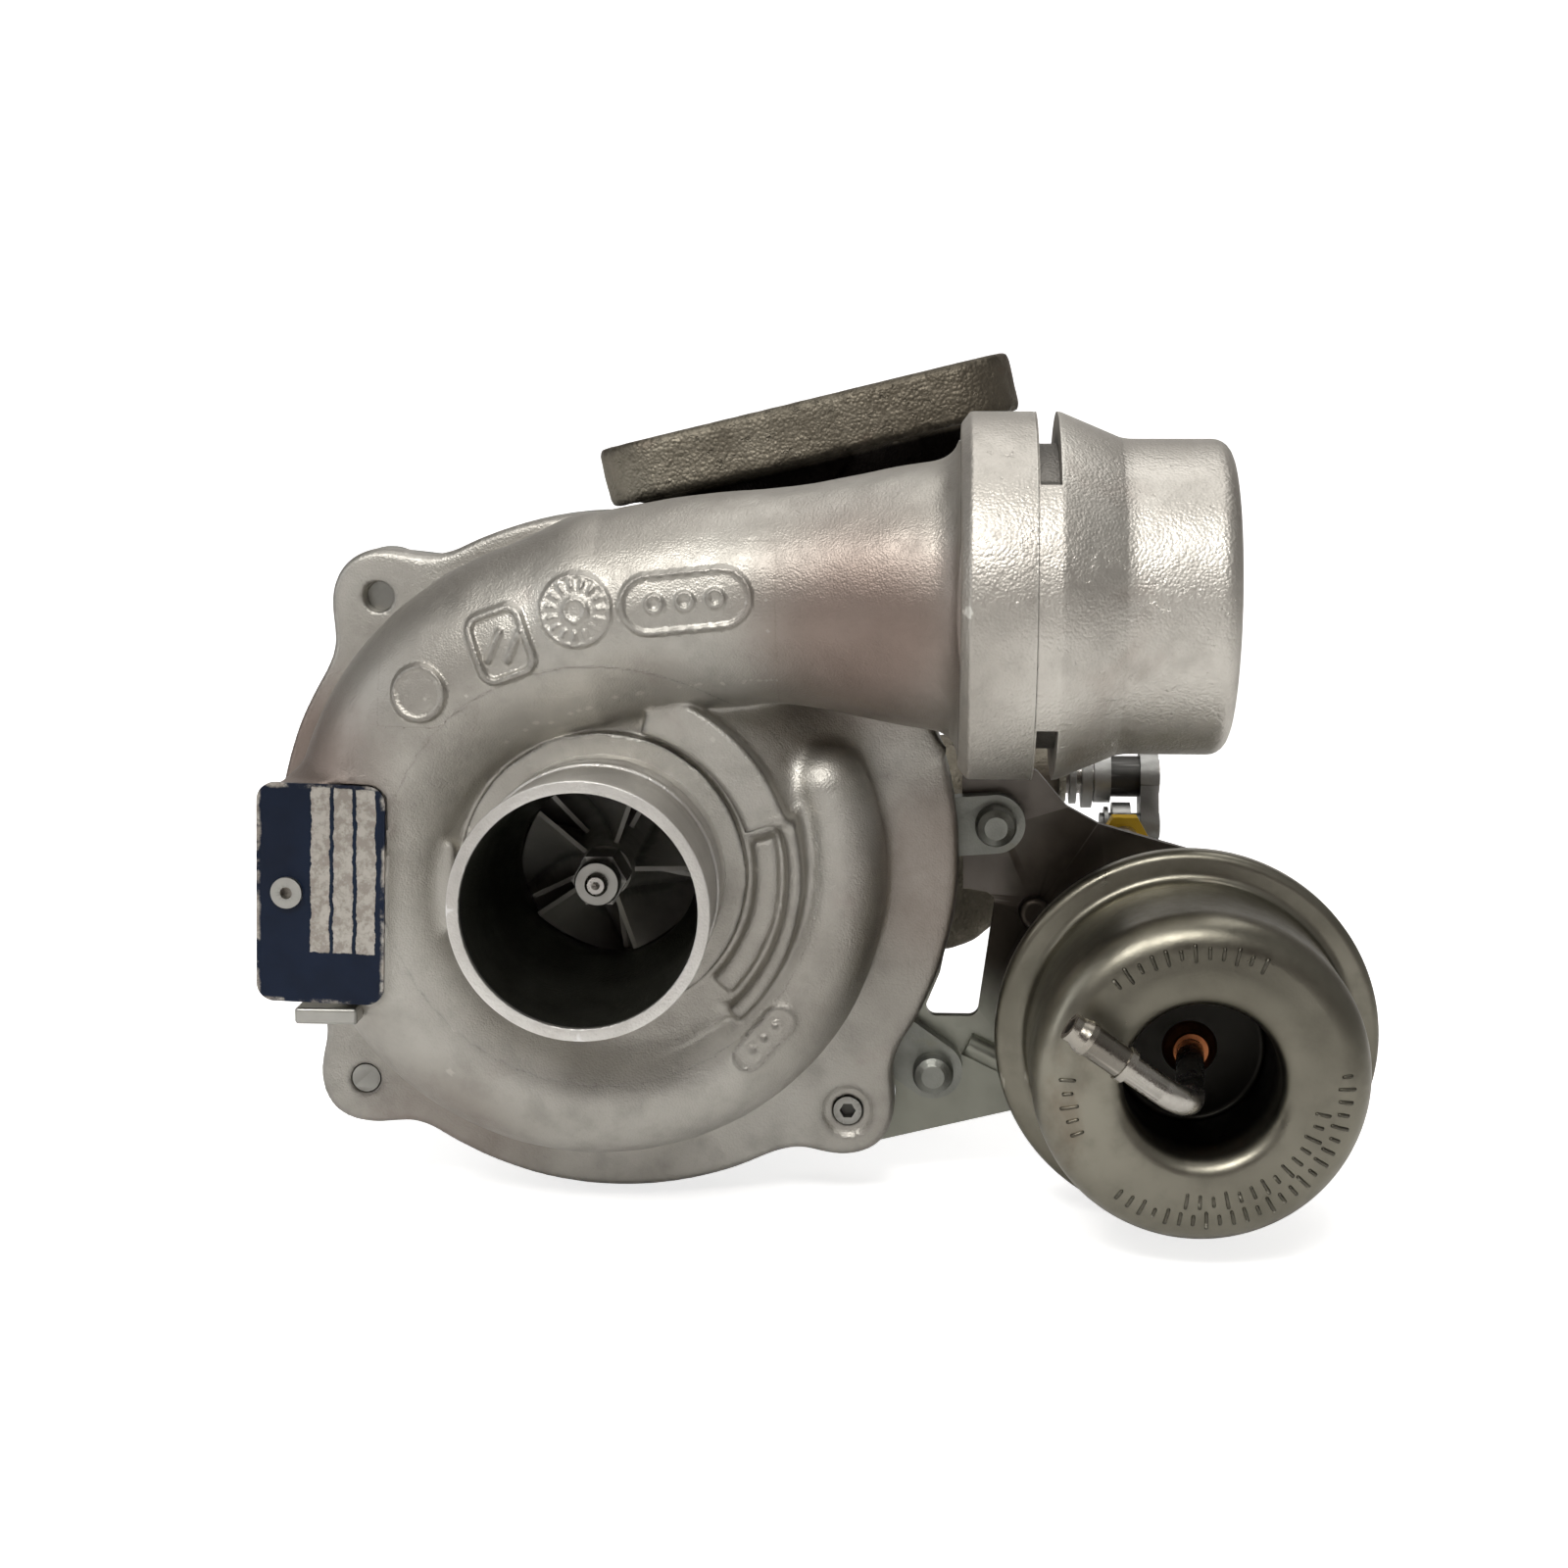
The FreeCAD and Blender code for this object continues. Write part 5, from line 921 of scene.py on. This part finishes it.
def make_materials():
    """All materials, by a short name."""
    return {
        # The brownish over-colour on the cast aluminium is painted reflection.
        "cast_aluminium": overlay_painted_light(metal("cast_aluminium", (0.53, 0.515, 0.475), (0.375, 0.355, 0.32), 0.49,
                                     0.36, 0.075, stain=((0.33, 0.27, 0.245), 0.35), edge=0.25, cavity=0.7),
                               (0.20, 0.135, 0.11), painted_warm_reflections),
        # The near-black over-colour inside the inlet tube's bore is painted shade.
        "turned_aluminium": overlay_painted_light(metal("turned_aluminium", (0.74, 0.725, 0.69), (0.56, 0.54, 0.51), 0.46,
                                       0.42, 0.08, stain=((0.45, 0.40, 0.365), 0.35), edge=0.5, pit=0.5),
                                 (0.10, 0.10, 0.082), painted_bore_shade),
        "collar": metal("collar_aluminium", (0.64, 0.615, 0.565), (0.46, 0.435, 0.395), 0.47, 0.5, 0.10,
                        stain=((0.37, 0.31, 0.27), 0.4), edge=0.5, pit=0.7, cavity=0.9),
        "wheel": metal("wheel_metal", (0.56, 0.545, 0.51), (0.42, 0.41, 0.38), 0.46, 0.35, 0.01,
                       metallic=0.3),
        "nut": metal("nut_steel", (0.30, 0.29, 0.27), (0.19, 0.185, 0.17), 0.38, 0.3, 0.01,
                     edge=0.4, cavity=0.9),
        "iron": metal("cast_iron", (0.34, 0.325, 0.27), (0.19, 0.18, 0.145), 0.56, 0.62, 0.20,
                      stain=((0.17, 0.10, 0.075), 0.4), edge=0.6, pit=0.8),
        # The near-black over-colour below the gas inlet flange is painted shadow.
        "gas_casing": overlay_painted_light(metal("gas_casing_iron", (0.30, 0.275, 0.22), (0.16, 0.14, 0.108), 0.56,
                                 0.62, 0.22, stain=((0.18, 0.10, 0.08), 0.45), edge=0.7, pit=0.8, cavity=0.9),
                           (0.012, 0.010, 0.009), painted_shadow_under_flange),
        "steel": metal("screw_steel", (0.34, 0.335, 0.31), (0.20, 0.195, 0.18), 0.36, 0.3, 0.008,
                       stain=((0.16, 0.14, 0.10), 0.35), edge=0.4, cavity=0.9),
        "link": metal("link_steel", (0.40, 0.40, 0.385), (0.15, 0.145, 0.135), 0.48, 0.5, 0.03,
                      stain=((0.10, 0.09, 0.07), 0.6), edge=0.4, cavity=0.9),
        "shaft": metal("shaft_steel", (0.50, 0.48, 0.45), (0.38, 0.36, 0.34), 0.28, 0.0, 0.0, scratch=0.5),
        # The near-black over-colour in the can's well is painted shade.
        "can": overlay_painted_light(metal("can_steel", (0.29, 0.275, 0.225), (0.165, 0.155, 0.123), 0.35, 0.55, 0.012,
                          stain=((0.18, 0.14, 0.10), 0.5), edge=0.6, scratch=0.3, cavity=0.8),
                    (0.018, 0.017, 0.015), painted_well_shade),
        # Bracket: its very dark base colour is partly painted shadow from the canister and partly oil; the
        # paler lower arm is painted light.
        "bracket": overlay_painted_light(metal("bracket_steel", (0.075, 0.063, 0.052), (0.035, 0.029, 0.023), 0.40, 0.6, 0.012,
                              stain=((0.10, 0.085, 0.06), 0.5), edge=0.6, scratch=0.2),
                        (0.30, 0.305, 0.26), painted_lit_arm),
        "lug": metal("lug_metal", (0.40, 0.405, 0.375), (0.25, 0.255, 0.23), 0.48, 0.45, 0.05,
                     stain=((0.20, 0.19, 0.12), 0.5), cavity=0.8),
        "bronze": metal("bearing_bronze", (0.55, 0.36, 0.17), (0.38, 0.24, 0.11), 0.33, 0.4, 0.008,
                        scratch=0.3),
        "rubber": metal("black_rubber", (0.025, 0.025, 0.026), (0.015, 0.015, 0.016), 0.72, 0.4, 0.02,
                        metallic=0.0),
        "copper": metal("braze_copper", (0.46, 0.17, 0.07), (0.22, 0.08, 0.035), 0.42, 0.5, 0.03,
                        stain=((0.12, 0.07, 0.05), 0.6)),
        "nipple": metal("nipple_chrome", (0.62, 0.60, 0.56), (0.30, 0.27, 0.22), 0.27, 0.7, 0.03,
                        stain=((0.15, 0.12, 0.08), 0.85), pit=0.8),
        "yellow": metal("yellow_paint", (0.90, 0.60, 0.03), (0.75, 0.46, 0.02), 0.48, 0.5, 0.02, metallic=0.0,
                        stain=((0.30, 0.20, 0.06), 0.4)),
        "enamel": plate_paint(),
    }


FINISHES = {
    "steel": ("compressor_bolts", "bolt_washers", "nameplate_rivet", "backplate_screws", "clamp_bolts",
              "bearing_circlips", "oil_inlet_fitting", "actuator_studs", "actuator_nuts", "bracket_nuts",
              "actuator_spring", "spring_cup", "nameplate_tab", "rod_guide"),
    "link": ("wastegate_lever", "lever_pin", "lever_clip", "rod_eye", "spindle_washers"),
    "nut": ("wheel_nut",),
    "shaft": ("rotor_shaft", "seal_sleeve", "thrust_collar", "front_piston_ring",
              "rear_piston_ring", "actuator_rod", "wastegate_spindle"),
    "iron": ("turbine_wheel", "heat_shield", "clamp_plates", "wastegate_bush", "wastegate_flap",
             "flap_washer"),
    "can": ("actuator_front_can", "actuator_rear_can", "oil_baffle"),
    "lug": ("compressor_backplate", "bracket_screws"),
    "bracket": ("actuator_bracket",),
    "bronze": ("thrust_bearing", "front_journal_bearing", "rear_journal_bearing"),
    "rubber": ("backplate_o_ring", "actuator_diaphragm"),
    "copper": ("braze_ring", "oil_inlet_washer"),
    "nipple": ("pressure_nipple",),
    "yellow": ("rod_lock_nut",),
    "wheel": ("compressor_wheel",),
    "enamel": ("nameplate",),
}


# ------------------------------------------------------------------ stage, light and camera

def make_stage():
    """Pale floor that curves up behind the part."""
    low, high = cad_box
    floor_z = low.z - 0.0002
    back = high.y + 0.9
    bend = 0.5
    rows = [(-1.6, floor_z), (back - bend, floor_z)]
    for i in range(1, 13):
        t = math.radians(90 * i / 12)
        rows.append((back - bend + bend * math.sin(t), floor_z + bend * (1 - math.cos(t))))
    rows.append((back, floor_z + 2.5))
    points = []
    for y, z in rows:
        points += [(-2.5, y, z), (2.5, y, z)]
    faces = [(2 * i, 2 * i + 1, 2 * i + 3, 2 * i + 2) for i in range(len(rows) - 1)]
    mesh = bpy.data.meshes.new("floor")
    mesh.from_pydata(points, [], faces)
    mesh.shade_smooth()
    floor = bpy.data.objects.new("floor", mesh)
    bpy.context.scene.collection.objects.link(floor)
    material = bpy.data.materials.new("pale_floor")
    material.use_nodes = True
    shader = material.node_tree.nodes["Principled BSDF"]
    shader.inputs["Base Color"].default_value = (0.90, 0.895, 0.89, 1)
    shader.inputs["Roughness"].default_value = 0.9
    shader.inputs["Specular IOR Level"].default_value = 0.1
    shader.inputs["Emission Color"].default_value = (1, 1, 1, 1)
    seen = add(material.node_tree, "ShaderNodeLightPath").outputs["Is Camera Ray"]
    glow = product(material.node_tree, seen, 0.75)
    material.node_tree.links.new(glow, shader.inputs["Emission Strength"])
    mesh.materials.append(material)


def soft_light(name, place, target, size, power, colour):
    """Rectangular area light."""
    data = bpy.data.lights.new(name, "AREA")
    data.shape = "RECTANGLE"
    data.size, data.size_y = size
    data.energy = power
    data.color = colour
    lamp = bpy.data.objects.new(name, data)
    lamp.location = place
    lamp.rotation_euler = (Vector(target) - Vector(place)).to_track_quat("-Z", "Y").to_euler()
    bpy.context.scene.collection.objects.link(lamp)


def make_lights():
    """Soft overhead window, a weaker fill and a dim room."""
    low, high = cad_box
    middle = (low + high) / 2
    soft_light("key", middle + Vector((-0.12, -0.62, 0.58)), middle, (0.50, 0.26), 5.3, (1.0, 0.99, 0.97))
    soft_light("top", middle + Vector((0.05, 0.10, 0.75)), middle, (0.7, 0.5), 2.2, (1.0, 0.99, 0.98))
    soft_light("side", middle + Vector((-0.75, -0.25, 0.22)), middle, (0.3, 0.5), 0.9, (0.95, 0.97, 1.0))
    world = bpy.data.worlds.new("room")
    bpy.context.scene.world = world
    world.use_nodes = True
    tree = world.node_tree
    background = tree.nodes["Background"]
    way = add(tree, "ShaderNodeTexCoord").outputs["Generated"]
    split = add(tree, "ShaderNodeSeparateXYZ", None, Vector=way)
    aside = maths(tree, split.outputs["X"], 0.0, "ABSOLUTE")
    behind = product(tree, split.outputs["Y"], 0.35)
    bright = sum_of(tree, sum_of(tree, split.outputs["Z"], product(tree, aside, 0.35)), behind)
    sky = blend(tree, ramp(tree, bright, -0.35, 0.75), (0.22, 0.155, 0.14), (0.78, 0.765, 0.74))
    tree.links.new(sky, background.inputs["Color"])
    background.inputs["Strength"].default_value = 0.34


def make_camera():
    """Camera in front of the inlet, a little above and to the right, looking slightly down."""
    azimuth = math.radians(CAMERA_AZIMUTH)
    elevation = math.radians(CAMERA_ELEVATION)
    ahead = Vector((-math.sin(azimuth) * math.cos(elevation), math.cos(azimuth) * math.cos(elevation),
                    -math.sin(elevation)))
    data = bpy.data.cameras.new("camera")
    data.sensor_width = 36.0
    data.lens = CAMERA_LENS
    data.clip_start = 0.01
    data.clip_end = 20.0
    camera = bpy.data.objects.new("camera", data)
    camera.location = CAMERA_PLACE
    camera.rotation_euler = ahead.to_track_quat("-Z", "Y").to_euler()
    bpy.context.scene.collection.objects.link(camera)
    bpy.context.scene.camera = camera


def make_compressor(finishes, quick):
    """Compressor casting with its two finer skins, inlet tube and outlet spigot."""
    castings = (("compressor_casting", compressor_rest, (-64, 11, -64), (65, 56, 72), 0.9, 0.55),
                ("compressor_front", compressor_front, (-38, 15, -38), (38, 39.5, 38), 0.6, 0.36),
                ("compressor_marks", compressor_marks, (-37, 18, 24), (31, 34, 58), 0.6, 0.25))
    for name, field, low, high, coarse, fine in castings:
        piece = cast(name, field, low, high, coarse if quick else fine)
        put(piece, finishes["cast_aluminium"], "cast_aluminium", "compressor_housing", "outlet_tube")
    put(inlet_tube(), finishes["turned_aluminium"], "cast_aluminium", "inlet_neck")
    put(outlet_spigot(), finishes["collar"], "cast_aluminium", "outlet_collar")


def make_can(finishes, quick):
    """Front can of the actuator with the ticks on its face."""
    put(can_shell(), finishes["can"], "can_steel", "actuator_front_can")
    cx, cz = middle_of("actuator_front_can")
    reach = 26
    ticks = cast("can_ticks", can_ticks_field, (cx - reach, 8.5, cz - reach), (cx + reach, 12.5, cz + reach),
                 0.4 if quick else 0.2)
    put(ticks, finishes["can"], "can_steel", "actuator_front_can")


def make_iron(finishes, quick):
    """Turbine housing and bearing housing."""
    turbine = cast("turbine_casting", turbine_field, (-46, 69, -60), (84, 146, 98), 1.1 if quick else 0.75)
    put(turbine, finishes["gas_casing"], "cast_iron", "turbine_housing", "turbine_duct",
        "turbine_inlet_flange", "turbine_outlet_end", "inlet_gussets")
    centre = cast("centre_casting", centre_field, (-44, 56, -46), (44, 93, 44), 1.1 if quick else 0.7)
    put(centre, finishes["iron"], "cast_iron", "bearing_housing")


def main():
    """The whole scene, in its order."""
    bpy.context.scene.view_settings.view_transform = "Standard"
    bpy.context.scene.view_settings.look = "None"
    make_camera()
    make_lights()
    make_stage()
    finishes = make_materials()
    for finish, nodes in FINISHES.items():
        for node in nodes:
            paint(node, finishes[finish])

    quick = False
    make_compressor(finishes, quick)
    make_can(finishes, quick)
    make_iron(finishes, quick)


main()
